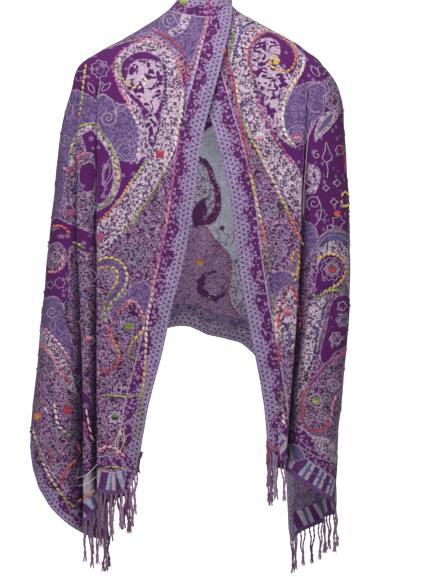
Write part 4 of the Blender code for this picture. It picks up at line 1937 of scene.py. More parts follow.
@dataclass(frozen=True)
class BandSizes:
    """Where the woven bands run, measured inwards from the long edge or from the short end.

    Args:
        cell: the pitch of the border's honeycomb.
        net: how wide its honeycomb is.
        border: how wide it is in all.
        wave: how far the line between its halves sways.
        wave_length: how long one sway is.
        rim: how wide the plain rim of the ends is.
        bars: where their stripes end.
        scallop: where their dark scalloped band ends.
        stripe: how wide one stripe is, about.
    """

    cell: float = 0.0074
    net: float = 0.0200
    border: float = 0.0405
    wave: float = 0.0045
    wave_length: float = 0.052
    rim: float = 0.0080
    bars: float = 0.0375
    scallop: float = 0.0580
    stripe: float = 0.0083


BANDS = BandSizes()


def new_finish(name: str) -> tuple[bpy.types.Material, Graph, bpy.types.Node]:
    """Starts a finish.

    Args:
        name: the material's name.

    Returns:
        The material, the graph that adds its nodes, and its shader.
    """
    material = bpy.data.materials.new(name)
    material.use_nodes = True
    return material, Graph(material.node_tree), material.node_tree.nodes["Principled BSDF"]


@dataclass(frozen=True)
class ClothFinish:
    """The finish of one face of the woven cloth.

    Args:
        open_ground: the ground where no motif is drawn.
        grounds: the tint of each kind of ground.
        line: the fine outline of every field.
        net: the light and the dark of the border's honeycomb.
        band: the dark and the light of the border's inner half.
        stripes: the stripes of the ends.
        rim: the plain rim of the ends.
        patches: the tints that break up the open ground.
        deep: the colour of the shade painted into the depths of its folds.
        shaded: how far that painted shade darkens the depths.
        roughness: how dull it is.
    """

    open_ground: Tint
    grounds: dict[Ground, Tint]
    line: str = "bfa9c4"
    net: tuple[str, str] = ("b3a2c4", "5d3d70")
    band: tuple[str, str] = ("582060", "b48cb8")
    stripes: tuple[str, ...] = ("5f2c6c", "bfaebd", "66598c", "a9adc4")
    rim: str = "6f4a80"
    patches: tuple[Tint, ...] = ()
    # The painted shade of the folds: its colour and how strongly it is laid.
    deep: str = "26122f"
    shaded: float = 0.80
    roughness: float = 0.88

    def build(self, name: str, ornaments: Ornaments) -> bpy.types.Material:
        """Builds the finish.

        Args:
            name: the material's name.
            ornaments: the shared node groups.

        Returns:
            The material.
        """
        material, g, shader = new_finish(name)
        place = g.add("ShaderNodeTexCoord").outputs["Object"]
        split = g.add("ShaderNodeSeparateXYZ", {0: place})
        flat = g.add("ShaderNodeCombineXYZ", {
            0: g.math("MULTIPLY_ADD", split.outputs[1], 0.6, split.outputs[0]), 1: split.outputs[2], 2: 0.0}).outputs[0]
        weave = g.group(ornaments.weave, {"Place": place})
        masks = {
            Texture.LACE: g.group(ornaments.lace, {"Place": place, "Scale": 105.0, "Turns": 6.0, "Width": 0.20}),
            Texture.MARKS: g.group(ornaments.blots, {"Place": place, "Scale": 205.0, "Size": 0.46}),
            Texture.FINE: g.group(ornaments.blots, {"Place": place, "Scale": 250.0, "Size": 0.46}),
            Texture.PLAIN: g.group(ornaments.flower, {"Place": flat, "Scale": 78.0, "Size": 0.30}),
            Texture.LEAVES: g.group(ornaments.leafage, {"Place": place, "Scale": 72.0}),
        }
        masks = {texture: group.outputs["Mask"] for texture, group in masks.items()}
        curls = g.group(ornaments.lace, {"Place": place, "Scale": 78.0, "Turns": 6.0, "Width": 0.10}).outputs[0]
        masks[Texture.MARKS] = g.math("MAXIMUM", masks[Texture.MARKS], curls)
        masks[Texture.FINE] = g.math("MAXIMUM", masks[Texture.FINE], g.math("MULTIPLY", curls, 0.8))
        strength = {Texture.LACE: 0.90, Texture.MARKS: 0.95, Texture.FINE: 0.50, Texture.PLAIN: 0.55,
                    Texture.LEAVES: 0.95}

        def tinted(tint: Tint) -> bpy.types.NodeSocket:
            """Gives a ground with what is on it."""
            mask = g.math("MULTIPLY", masks[tint.texture], strength[tint.texture])
            return g.mix(mask, to_linear(tint.base), to_linear(tint.mark))

        wander = g.math("MULTIPLY", g.math("SUBTRACT", g.noise(place, 150.0), 0.5), 0.0042)
        colour, rims = tinted(self.open_ground), None
        for k, patch in enumerate(self.patches):
            spread = g.noise(g.vector("ADD", place, (3.0 * k + 1.0, 0.0, 0.0)), 34.0, 2.0)
            colour = g.mix(g.step(spread, 0.53, 0.56), colour, tinted(patch))
        for ground, tint in self.grounds.items():
            depth = g.math("ADD", g.attribute(ground.value), wander)
            colour = g.mix(g.step(depth, -0.0004, 0.0004), colour, tinted(tint))
            rim = g.step(g.math("ABSOLUTE", depth), 0.0014, 0.0006)
            rims = rim if rims is None else g.math("MAXIMUM", rims, rim)
        rims = g.math("MULTIPLY", rims, g.step(g.noise(place, 300.0), 0.38, 0.58))
        colour = g.mix(g.math("MULTIPLY", rims, 0.7), colour, to_linear(self.line))
        colour = self._ends(g, colour, place, ornaments)
        colour = self._border(g, colour, ornaments)
        tone = g.add("ShaderNodeCombineColor", {i: weave.outputs["Tone"] for i in range(3)}).outputs[0]
        colour = g.mix(1.0, colour, tone, "MULTIPLY")
        # Painted shade: the colour darkens towards the deep colour where a point lies in a fold.
        colour = g.mix(g.math("MULTIPLY", g.attribute("valley_shade"), self.shaded), colour, to_linear(self.deep))
        g.feed(shader.inputs["Base Color"], colour)
        height = g.math("MULTIPLY_ADD", masks[Texture.LACE], 0.35, weave.outputs["Height"])
        bump = g.add("ShaderNodeBump", {"Strength": 0.5, "Distance": 0.0006, "Height": height})
        g.feed(shader.inputs["Normal"], bump.outputs[0])
        shader.inputs["Roughness"].default_value = self.roughness
        shader.inputs["Sheen Weight"].default_value = 0.03
        shader.inputs["Sheen Roughness"].default_value = 0.5
        shader.inputs["Specular IOR Level"].default_value = 0.25
        return material

    def _line(self, g: Graph, value: Value, at: float, colour: Value) -> bpy.types.NodeSocket:
        """Draws a fine line where a value passes a number."""
        off = g.math("ABSOLUTE", g.math("SUBTRACT", value, at))
        return g.mix(g.math("MULTIPLY", g.step(off, 0.0014, 0.0006), 0.7), colour, to_linear(self.line))

    def _spotted(self, g: Graph, place: Value, ornaments: Ornaments) -> bpy.types.NodeSocket:
        """Makes the dark band with its small light rings."""
        flowers = g.group(ornaments.blots, {"Place": place, "Scale": 190.0, "Size": 0.42}).outputs[0]
        return g.mix(g.math("MULTIPLY", flowers, 0.8), to_linear(self.band[0]), to_linear(self.band[1]))

    def _border(self, g: Graph, colour: Value, ornaments: Ornaments) -> bpy.types.NodeSocket:
        """Lays the border of the long edges: a honeycomb outside, rings on dark inside.

        Args:
            g: the finish's graph.
            colour: what it lies on.
            ornaments: the shared node groups.

        Returns:
            The colour with it.
        """
        edge, along = g.attribute("edge"), g.attribute("edge_along")
        place = g.add("ShaderNodeCombineXYZ", {0: edge, 1: along, 2: 0.0}).outputs[0]
        height = g.group(ornaments.lattice, {"Place": place, "Pitch": BANDS.cell}).outputs[0]
        dots = g.math("ADD", g.step(height, 0.2, 1.3), g.math("MULTIPLY", g.step(height, -0.9, -1.3), 0.7))
        veins = g.math("MULTIPLY", g.group(ornaments.blots, {"Place": place, "Scale": 330.0}).outputs[0], 0.6)
        netted = g.mix(g.math("MAXIMUM", dots, veins), to_linear(self.net[0]), to_linear(self.net[1]))
        sway = g.math("SINE", g.math("MULTIPLY", along, 2 * math.pi / BANDS.wave_length))
        wave = g.math("MULTIPLY", sway, BANDS.wave)
        edge = g.math("MULTIPLY", edge, g.math("MULTIPLY_ADD", g.step(g.attribute("end"), 0.070, 0.035), 0.95, 1.0))
        split = g.math("ADD", edge, wave)
        band = g.mix(g.step(split, BANDS.net, BANDS.net + 0.0035), netted, self._spotted(g, place, ornaments))
        colour = g.mix(g.step(edge, BANDS.border, BANDS.border - 0.0010), colour, band)
        return self._line(g, edge, BANDS.border, colour)

    def _ends(self, g: Graph, colour: Value, place: Value, ornaments: Ornaments) -> bpy.types.NodeSocket:
        """Lays the ends: a plain rim, stripes that run down, and a dark scalloped band.

        Args:
            g: the finish's graph.
            colour: what they lie on.
            place: the place on the cloth.
            ornaments: the shared node groups.

        Returns:
            The colour with it.
        """
        end, along = g.attribute("end"), g.attribute("end_along")
        turn = g.math("FRACT", g.math("DIVIDE", along, BANDS.stripe * len(self.stripes)))
        bars = to_linear(self.stripes[0])
        for start, stripe in zip((0.38, 0.60, 0.78), self.stripes[1:]):
            bars = g.mix(g.step(turn, start - 0.02, start + 0.02), bars, to_linear(stripe))
        bars = g.mix(g.math("MULTIPLY", g.step(g.noise(place, 260.0), 0.54, 0.62), 0.35), bars, to_linear(self.rim))
        lobes = g.math("ABSOLUTE", g.math("SINE", g.math("MULTIPLY", along, math.pi / (2 * BANDS.stripe))))
        scallop = g.math("MULTIPLY_ADD", lobes, -0.007, end)
        for value, at, what in ((scallop, BANDS.scallop, self._spotted(g, place, ornaments)), (end, BANDS.bars, bars)):
            colour = g.mix(g.step(value, at + 0.0005, at - 0.0005), colour, what)
            colour = self._line(g, value, at, colour)
        return g.mix(g.step(end, BANDS.rim, BANDS.rim - 0.0015), colour, to_linear(self.rim))


@dataclass(frozen=True)
class YarnFinish:
    """The finish of thick yarn, whose colour each piece carries.

    Args:
        roughness: how dull it is.
        turns: how many turns of its plies lie in a metre.
    """

    roughness: float = 0.62
    turns: float = 420.0

    def build(self, name: str) -> bpy.types.Material:
        """Builds the finish.

        Args:
            name: the material's name.

        Returns:
            The material.
        """
        material, g, shader = new_finish(name)
        yarn = g.attribute("yarn", "Color")
        lay = g.add("ShaderNodeSeparateXYZ", {0: g.attribute("lay", "Vector")})
        angle = g.math("ARCTAN2", lay.outputs[2], lay.outputs[1])
        phase = g.math("ADD", g.math("MULTIPLY", lay.outputs[0], self.turns * 2 * math.pi), angle)
        ply = g.math("MULTIPLY_ADD", g.math("SINE", phase), 0.5, 0.5)
        # Painted light and shade: the plies are lighter on their crests and darker in the grooves between them, beside
        # the bump.
        tone = g.math("MULTIPLY_ADD", ply, 0.30, 0.85)
        shade = g.add("ShaderNodeCombineColor", {0: tone, 1: tone, 2: tone}).outputs[0]
        g.feed(shader.inputs["Base Color"], g.mix(1.0, yarn, shade, "MULTIPLY"))
        bump = g.add("ShaderNodeBump", {"Strength": 0.6, "Distance": 0.0005, "Height": ply})
        g.feed(shader.inputs["Normal"], bump.outputs[0])
        shader.inputs["Roughness"].default_value = self.roughness
        shader.inputs["Sheen Weight"].default_value = 0.3
        return material


@dataclass(frozen=True)
class StudioSizes:
    """Where the floor, the lights and the camera are.

    Args:
        floor: the floor's height, below shoulders that stand this high.
        card: how far off the white cards stand.
        lens: the camera's lens in millimetres.
    """

    floor: float = -1.38
    card: float = 8.5
    lens: float = 18.0 / (0.5 * VIEW_HEIGHT / (FRONT_Y - EYE[1]))


class Studio:
    """The pale floor with its white cards, the soft lights and the camera."""

    def __init__(self, sizes: StudioSizes) -> None:
        """Takes the sizes."""
        self.sizes = sizes

    def build(self) -> None:
        """Builds the stage, the lights and the camera."""
        self._backdrop()
        self._light("key", (-0.7, -1.4, 1.4), 1.0, 17.0, (0.0, 0.0, 0.1))
        self._light("fill", (1.1, -1.9, 0.7), 1.3, 6.0, (0.0, 0.0, -0.1))
        self._light("front", (0.0, -1.6, 1.0), 0.9, 14.5, (0.0, 0.0, 0.1))
        self._light("hollow", (0.0, -0.07, -0.22), 0.16, 0.16, (0.0, 0.12, -0.24))
        self._light("top", (0.0, 0.1, 2.6), 2.6, 20.0, (0.0, 0.0, -0.4))
        self._light("behind", (0.5, 2.2, 0.9), 1.4, 16.0, (0.0, 0.0, -0.2))
        world = bpy.data.worlds.new("studio")
        bpy.context.scene.world = world
        world.use_nodes = True
        world.node_tree.nodes["Background"].inputs[0].default_value = (0.97, 0.94, 0.93, 1.0)
        world.node_tree.nodes["Background"].inputs[1].default_value = 0.15
        bpy.context.scene.view_settings.view_transform = "Standard"
        self._camera()

    def _backdrop(self) -> None:
        """Lays the floor, and stands a glowing white card far behind the shawl and one far before it."""
        sizes = self.sizes
        floor = self._board("floor", (0.0, -1.5, sizes.floor), (10.0, 7.0), 0.0)
        floor.data.materials.append(self._paper("paper", 0.0))
        glow = self._paper("card", 1.0)
        for name, away in (("card_behind", sizes.card), ("card_before", -sizes.card)):
            card = self._board(name, (0.0, away, EYE[2]), (5.2, 5.2), 90.0)
            card.data.materials.append(glow)

    @staticmethod
    def _board(name: str, spot: tuple, spread: tuple[float, float], tilt: float) -> bpy.types.Object:
        """Models a flat board.

        Args:
            name: its name.
            spot: its middle.
            spread: its width and its depth.
            tilt: how far it is tilted, in degrees.

        Returns:
            The board.
        """
        deselect_all()
        bpy.ops.mesh.primitive_plane_add(size=1.0, location=spot, rotation=(math.radians(tilt), 0.0, 0.0))
        made = bpy.context.object
        made.name = made.data.name = name
        made.scale = (*spread, 1.0)
        bpy.ops.object.transform_apply(location=True, rotation=True, scale=True)
        return made

    @staticmethod
    def _paper(name: str, glow: float) -> bpy.types.Material:
        """Makes white paper, which may glow.

        Args:
            name: its name.
            glow: how strongly it glows.

        Returns:
            The material.
        """
        paper, _, shader = new_finish(name)
        shader.inputs["Base Color"].default_value = (0.86, 0.86, 0.87, 1.0)
        shader.inputs["Emission Color"].default_value = (1.0, 1.0, 1.0, 1.0)
        shader.inputs["Emission Strength"].default_value = glow
        shader.inputs["Roughness"].default_value = 0.9
        return paper

    @staticmethod
    def _light(name: str, spot: tuple, size: float, power: float, aim: tuple) -> None:
        """Adds a soft square light.

        Args:
            name: its name.
            spot: where it is.
            size: its width in metres.
            power: its power in watts.
            aim: what it faces.
        """
        data = bpy.data.lights.new(name, "AREA")
        data.size, data.energy = size, power
        made = bpy.data.objects.new(name, data)
        bpy.context.scene.collection.objects.link(made)
        made.location = spot
        way = Vector(aim) - made.location
        made.rotation_euler = way.to_track_quat("-Z", "Y").to_euler()

    def _camera(self) -> None:
        """Adds the camera, level and in front."""
        data = bpy.data.cameras.new("camera")
        data.lens = self.sizes.lens
        data.sensor_width = 36.0
        made = bpy.data.objects.new("camera", data)
        bpy.context.scene.collection.objects.link(made)
        made.location = EYE
        made.rotation_euler = (math.pi / 2, 0.0, 0.0)
        bpy.context.scene.camera = made


FACE = ClothFinish(
    open_ground=Tint("4c2052", "bd98b8", Texture.LACE),
    patches=(Tint("9a85a2", "2f1840", Texture.MARKS), Tint("4b1452", "ab87ad", Texture.MARKS)),
    grounds={
        Ground.MAGENTA: Tint("5e1c66", "ab90b1", Texture.PLAIN),
        Ground.SLATE: Tint("5c4076", "a289b4", Texture.FINE),
        Ground.SILVER: Tint("d2bdce", "502a5b", Texture.MARKS),
        Ground.ACANTHUS: Tint("57195f", "c4adc2", Texture.LEAVES),
    },
)
REVERSE = ClothFinish(
    open_ground=Tint("c6c9d4", "a9a4bc", Texture.FINE),
    grounds={
        Ground.MAUVE: Tint("b08fb2", "6c4474", Texture.LACE),
        Ground.MAGENTA: Tint("5d2f63", "a58fae", Texture.PLAIN),
        Ground.SILVER: Tint("c9c4d0", "7a5f88", Texture.MARKS),
    },
    line="6a4272",
    net=("bfb2cb", "694a75"),
    shaded=0.0,
    band=("8a7a9c", "532e5c"),
    roughness=0.93,
)

YARN = {
    "red": "d03444", "crimson": "a2224a", "magenta": "c03288", "plum": "6a2860", "pink": "f08ea0",
    "pale": "f2c8d6", "lavender": "b4a6e0", "blue": "4a54a4", "navy": "20265c", "dark": "2c1533",
    "olive": "8a8a3c", "green": "6a9440", "lime": "b4c25c", "yellow": "e4c35a", "amber": "e0973c",
    "orange": "e8703c", "cream": "f0deba", "white": "efe8ec", "silver": "c4b2c6", "ash": "a79ab4",
    "mist": "8f86ac", "rose": "b04a70",
}

LONG = {"length": 0.0130, "width": 0.0034, "slant": 5.0, "pitch": 1.05}
KNOTS = {"length": 0.0060, "width": 0.0050, "slant": 35.0, "pitch": 1.1}

SMALL = {"length": 0.0060, "width": 0.0030, "slant": 10.0, "pitch": 1.3}

LEFT_RUNS = (
    Run(path("209,0 207,18 205,33 200,49 197,62 193,76 191,87 186,101 181,124 178,148 175,170 171,194 168,214 "
             "163,240 159,262 154,282 152,298 149,311 147,325 146,345 145,365 143,390 140,415 137,440"),
        "magenta pink pale lavender navy magenta magenta pink magenta pink pale cream yellow olive olive"),
    Run(path("152,28 158,32 165,36 174,42 183,53 186,62 186,70 187,80"),
        "pink red red crimson red"),
    Run(path("133,42 145,39 155,40 164,44 170,50"), "red pink pink red"),
    Run(path("176,57 179,64 180,73 182,83"), "pink orange pink"),
    Run(path("183,92 182,103 182,114 179,124 177,134 175,146 171,156 166,167 162,176 153,192 146,202 140,210 132,222 "
             "126,229 115,241 109,248 101,254"),
        "cream cream cream white cream olive olive lime olive navy navy"),
    Run(path("122,50 115,60 113,69 116,81 122,92 129,106 133,115 138,124 139,135 139,146 137,158"),
        "magenta crimson magenta pink pale lavender pale"),
    Run(path("124,59 120,65 121,76 128,85 136,88 143,86 146,81 144,77 140,79"),
        "green lime yellow cream cream"),
    Run(path("163,64 166,73 166,84 165,95 163,107"), "navy navy", **KNOTS),
    Run(path("159,126 156,138 152,149"), "dark navy", **LONG),
    Run(path("146,159 142,167 137,175 130,183 125,192 121,199 113,207 107,215 99,221"),
        "green lime yellow amber orange orange", **KNOTS),
    Run(path("70,161 71,149 75,137 77,129 84,125 93,124 106,139 113,151 116,165 118,175 116,184 110,199 103,206 "
             "98,207"),
        "olive green lime lime yellow lime olive green"),
    Run(path("86,64 85,73 83,87 82,99 81,107 79,117"), "yellow yellow lime amber"),
    Run(path("98,261 105,258 115,259 123,265 127,275 124,288 116,298 110,305 108,312"),
        "yellow yellow cream lime yellow"),
    Run(path("99,268 108,267 115,269 117,282 110,292 105,304 105,314 106,323"),
        "amber yellow olive lime"),
    Run(path("112,339 110,331 113,322 118,312 124,306 133,301 138,306 142,313 145,320"),
        "orange red crimson red pink pink amber"),
    Run(path("112,339 116,345 119,353 118,362 114,368 107,372 99,368"), "orange amber orange red red crimson"),
    Run(path("145,326 140,334 134,340 130,348 130,356 136,359"), "cream yellow olive olive"),
    Run(path("98,397 108,395 118,396 130,397 142,394"), "olive lime olive", **LONG),
    Run(path("119,429 123,441 126,452"), "cream olive", **LONG),
    Run(path("98,451 105,447 114,448 121,453 125,457"), "pink pale pink"),
    Run(path("97,470 106,467 116,467 127,470"), "olive lime", **LONG),
    Run(path("76,186 77,190"), "navy navy", **KNOTS),
    Run(path("63,167 66,170 69,172 72,167 76,160 80,156 85,153"), "pink red pink"),
    Run(path("72,242 78,244 85,249"), "lime green"),
    Run(path("77,266 76,276 77,286 82,296 91,301"), "navy blue navy", **KNOTS),
    Run(path("68,297 66,307 66,318 69,327 73,334"), "navy dark navy", **KNOTS),
    Run(path("86,368 93,374"), "dark navy", **KNOTS),
    Run(path("84,422 86,429 88,436"), "magenta magenta"),
    Run(path("86,408 89,425 93,442"), "cream cream", **LONG),
    Run(path("78,444 80,452"), "red red"),
    Run(path("77,502 86,497 95,490"), "orange amber"),
    Run(path("53,226 60,226 66,229 70,234"), "orange orange"),
    Run(path("48,272 56,272 63,262 63,256"), "pink pink"),
    Run(path("45,328 52,336 59,344 65,352 70,360"), "pink pale pink"),
    Run(path("41,345 49,352 57,362 64,373 70,385"), "red pink red"),
    Run(path("40,400 44,407 48,413"), "olive white", **LONG),
    Run(path("54,403 56,415 59,426 65,432 71,437"), "cream white olive"),
    Run(path("33,430 37,445 44,465 50,477 57,488 62,495 67,501 75,508"),
        "cream olive cream lime olive"),
    Run(path("48,448 51,456 50,463"), "red crimson"),
    Run(path("76,460 68,468 63,477 60,486"), "orange red"),
    *(cluster(*c) for c in ((160, 154, 7, "red crimson"), (100, 237, 7, "magenta rose"), (183, 2, 6, "lime olive"),
                            (129, 326, 7, "green olive"), (115, 417, 5, "green dark"), (68, 409, 8, "crimson red"),
                            (37, 416, 6, "orange amber"), (89, 339, 5, "pink rose"), (71, 213, 5, "magenta rose"),
                            (76, 187, 5, "navy blue"))),
)

RIGHT_RUNS = (
    Run(path("270,31 262,33 255,39 249,49 249,62 252,71 255,82 257,98 260,109 264,118 270,127 273,134 279,144 "
             "286,154 292,163"),
        "orange orange red crimson dark magenta magenta crimson magenta"),
    Run(path("274,33 283,39 290,43 295,50 295,61 290,70 279,70 271,65 271,60 274,56 280,62"),
        "red orange orange amber yellow yellow"),
    Run(path("304,57 302,71 292,85 286,98 283,112 283,124 286,135 295,146"),
        "white cream cream white cream"),
    Run(path("254,22 245,26 240,34 237,43 235,53 232,66"), "navy blue navy", **KNOTS),
    Run(path("233,31 232,43 229,58"), "green olive"),
    Run(path("224,49 227,62 231,73 235,87 237,103 240,121 244,141 247,153 250,172 254,190 258,208 262,226 266,250 "
             "270,275 273,300 276,325 278,350 280,375 282,400 284,425"),
        "crimson red red magenta red crimson yellow cream orange olive navy olive cream red navy olive cream"),
    Run(path("236,78 237,92 240,110 244,121 248,132 252,141 257,149 262,158 266,167 271,176 279,193 287,210 295,228 "
             "303,245"),
        "cream cream green lime yellow cream cream yellow orange orange"),
    Run(path("339,144 344,156 345,170"), "red red"),
    Run(path("341,196 345,192 349,197 348,205 343,206 341,200"), "yellow yellow"),
    Run(path("320,246 328,240 338,239 347,245"), "navy blue navy", **KNOTS),
    Run(path("318,259 323,256 330,254 338,256 343,262 345,271 343,278 339,283 331,288 323,292"),
        "yellow yellow amber yellow lime"),
    Run(path("314,300 322,294 332,290 342,291"), "green lime green", **KNOTS),
    Run(path("328,300 324,308 321,321 318,329 316,341 314,357 310,366 305,382"), "navy blue navy dark"),
    Run(path("346,349 340,356 334,359 327,365 321,370 315,377 309,384 305,391 302,401 302,409 303,418 307,428 "
             "314,431 322,430 328,424 331,416 332,406 336,396"),
        "magenta magenta crimson magenta red red crimson red pink pink"),
    Run(path("335,411 335,417"), "navy navy", **KNOTS),
    Run(path("295,455 303,464 309,470 315,474 323,480 332,486"), "navy blue navy", **LONG),
    Run(path("292,262 293,254 297,250 299,258 298,270 295,280 292,272"), "yellow amber yellow"),
    Run(path("278,328 280,312 284,297 290,287 296,296 299,310 300,328"), "red crimson red"),
    Run(path("285,322 288,332 290,342 288,354"), "navy blue navy"),
    Run(path("276,444 278,452"), "red red"),
    Run(path("282,436 287,441"), "cream pink"),
    *(cluster(*c) for c in ((260, 136, 7, "white pink"), (288, 312, 7, "pink rose"), (276, 62, 5, "lime yellow"),
                            (337, 213, 5, "red orange"), (332, 269, 6, "crimson red"), (343, 320, 5, "navy blue"),
                            (316, 400, 6, "green lime"), (297, 136, 6, "magenta pink"))),
)
INSIDE_RUNS = (
    Run(path("200,161 208,167 213,177 219,190 214,200 219,209 214,219 204,224"), "crimson pink red crimson", **SMALL),
    Run(path("206,226 214,239 218,246 227,255 230,271 227,289 229,301"), "red crimson orange red", **SMALL),
    Run(path("198,186 204,182 208,188 206,197"), "cream white cream", **SMALL),
    Run(path("229,301 238,313 246,323"), "crimson plum", **SMALL),
    cluster(200, 262, 6, "orange yellow"), cluster(222, 228, 4, "plum plum"),
)

M, SL, SI, AC, MA = Ground.MAGENTA, Ground.SLATE, Ground.SILVER, Ground.ACANTHUS, Ground.MAUVE

LEFT_MOTIFS = (
    Motif(M, path("60,85 76,64 92,54 113,46 135,40 150,36 165,44 178,55 186,75 187,100 184,125 178,148 168,168 "
                  "150,195 128,225 104,252 95,262 92,215 88,160 78,132 62,122"), "left"),
    Motif(SL, path("66,96 76,90 95,100 98,118 92,125 80,130 72,142 69,160 66,180 62,200 56,225 46,235 48,200 54,150 "
                   "60,115"), "left"),
    Motif(SL, path("128,28 146,22 156,8 174,-4 196,-6 206,8 203,30 195,52 190,64 180,54 166,42 150,32 136,36"), "left"),
    Motif(SI, path("184,-2 190,6 190,20 184,30 174,36 168,32 178,26 182,14"), "left"),
    Motif(SL, path("97,98 103,94 110,98 116,103 126,106 133,114 137,126 140,141 138,154 133,161 123,159 115,154 "
                   "108,141 101,129 96,118"), "left"),
    Motif(SI, path("113,66 117,56 130,46 143,40 153,39 164,44 174,56 180,66 182,80 184,94 182,113 179,133 174,149 "
                   "166,166 153,191 141,211 128,229 114,243 100,258 95,250 97,228 108,214 125,191 138,172 147,159 "
                   "143,156 136,164 139,150 140,140 138,126 134,114 129,104 121,93 115,77"), "left"),
    Motif(M, path("121,66 126,58 135,53 145,51 153,54 160,58 164,65 166,73 167,86 164,100 162,113 160,129 158,141 "
                  "152,147 148,143 145,129 142,116 138,106 130,98 125,90 121,80"), "left"),
    Motif(AC, path("130,66 138,60 150,60 160,64 163,74 163,88 160,100 156,112 148,110 140,100 130,92 126,84 128,74"),
          "left"),
    Motif(AC, path("146,116 152,114 157,122 158,134 154,142 149,138 146,128"), "left"),
    Motif(SI, path("70,166 70,154 72,144 77,134 84,127 93,122 100,130 109,141 116,153 119,166 120,180 117,192 "
                   "111,202 103,208 94,211 94,206 102,203 108,196 112,188 114,176 113,166 110,155 104,145 97,136 "
                   "92,130 85,132 80,138 76,148 74,158"), "left"),
    Motif(MA, path("72,170 78,158 86,153 94,156 95,180 94,205 89,226 80,232 72,222 69,200 70,182"), "left"),
    Motif(M, path("80,168 90,162 95,170 94,188 86,192 80,184"), "left"),
    Motif(SL, path("97,259 108,257 120,261 127,273 125,288 117,298 110,308 106,322 103,318 104,305 110,292 116,280 "
                   "112,270 98,268"), "left_face"),
    Motif(SL, path("128,290 140,282 152,290 149,312 145,322 139,306 132,299 122,306 114,322 110,314 117,300 124,296"),
          "left_face"),
    Motif(M, rosette(115, 417, 25, 8, 0.10), "left_face"),
    Motif(SI, rosette(115, 417, 15, 8, 0.14), "left_face"),
    Motif(M, rosette(115, 417, 8, 6, 0.1), "left_face"),
    Motif(M, path("52,220 70,224 95,236 96,252 84,252 70,247 69,280 67,300 56,306 44,300 46,260"), "left"),
    Motif(MA, path("50,246 60,243 66,254 64,266 54,272 47,262"), "left"),
    Motif(SL, path("44,300 60,300 68,330 74,350 73,364 58,342 40,324"), "left"),
    Motif(SI, path("40,330 50,337 60,351 70,370 76,392 70,390 58,370 48,353 39,345"),
          "left"),
    Motif(M, path("80,392 90,398 95,420 93,442 86,438 81,415"), "left"),
    Motif(MA, rosette(50, 436, 26, 7, 0.08), "left_outer"),
    Motif(SI, path("77,470 86,464 96,460 97,476 88,484 78,488"), "left"),
)

RIGHT_MOTIFS = (
    Motif(M, path("258,24 270,20 290,32 310,46 330,60 342,80 347,110 349,160 352,200 352,238 340,240 322,244 310,252 "
                  "305,230 303,200 301,179 290,160 278,140 268,122 260,100 254,75 250,50"), "right"),
    Motif(MA, path("326,80 336,76 344,92 344,112 334,110 326,104"), "right"),
    Motif(SL, path("295,88 303,84 313,82 324,84 326,99 323,113 316,120 310,133 303,142 293,140 286,128 284,114 "
                   "285,99 290,92"), "right"),
    Motif(SI, path("231,26 236,18 243,14 255,18 266,27 277,30 290,39 298,49 305,57 304,68 298,80 291,92 287,102 "
                   "284,113 285,125 289,137 296,148 288,144 281,136 277,124 280,140 288,155 295,163 302,179 305,196 "
                   "304,216 299,214 291,206 281,189 271,176 265,164 258,151 251,138 245,123 240,110 237,93 234,75 "
                   "230,60 228,42"), "right"),
    Motif(M, path("268,32 255,39 249,50 249,62 252,73 255,86 258,99 262,110 265,118 270,128 274,136 281,146 287,155 "
                  "289,150 280,138 276,124 276,110 280,98 286,86 292,76 297,66 297,56 291,46 281,37"), "right"),
    Motif(AC, path("254,44 266,38 277,42 280,52 276,62 284,70 292,78 288,86 280,92 272,96 262,92 256,80 252,64"),
          "right"),
    Motif(AC, path("265,98 274,94 278,104 276,118 278,132 272,128 267,116"), "right"),
    Motif(SI, path("315,140 317,126 324,114 338,110 337,118 330,127 323,134"), "right"),
    Motif(SL, path("318,132 321,124 327,117 334,113 332,119 326,127"), "right"),
    Motif(SI, path("306,192 312,184 308,178 309,166 316,166 320,174 319,184 314,193"), "right"),
    Motif(M, path("310,188 314,182 312,174 315,172 317,178 315,186"), "right"),
    Motif(SL, path("302,222 314,226 318,240 312,252 304,262 301,240"), "right"),
    Motif(SL, path("318,240 330,231 342,232 352,238 352,250 340,242 328,242 320,250"), "right"),
    Motif(SI, path("317,268 319,252 326,243 336,240 346,244 352,252 351,292 346,280 346,266 339,256 330,253 322,258"),
          "right"),
    Motif(M, path("315,298 317,270 322,258 331,253 340,257 346,267 343,280 335,288 322,296"), "right"),
    Motif(MA, rosette(332, 269, 17, 8, 0.1), "right"),
    Motif(SI, path("310,306 320,298 328,298 324,320 318,345 312,370 304,392 297,404 295,390 301,360 306,330"), "right"),
    Motif(M, path("333,300 351,298 351,332 346,346 336,352 326,364 320,356 326,330"), "right"),
    Motif(MA, rosette(343, 320, 15, 6, 0.12), "right"),
    Motif(MA, rosette(335, 340, 12, 6, 0.12), "right"),
    Motif(SL, path("318,372 330,360 338,356 324,372 310,388 306,396 300,408 300,400"), "right"),
    Motif(SI, path("294,430 304,430 314,436 326,438 334,446 337,462 326,460 313,452 302,444"), "right"),
    Motif(SL, path("268,276 282,271 297,276 299,286 290,284 281,290 274,304 270,316 267,296"), "right_face"),
    Motif(SI, path("273,318 276,302 282,292 289,287 297,294 299,312 297,334 292,350 284,344 277,334"), "right_face"),
)

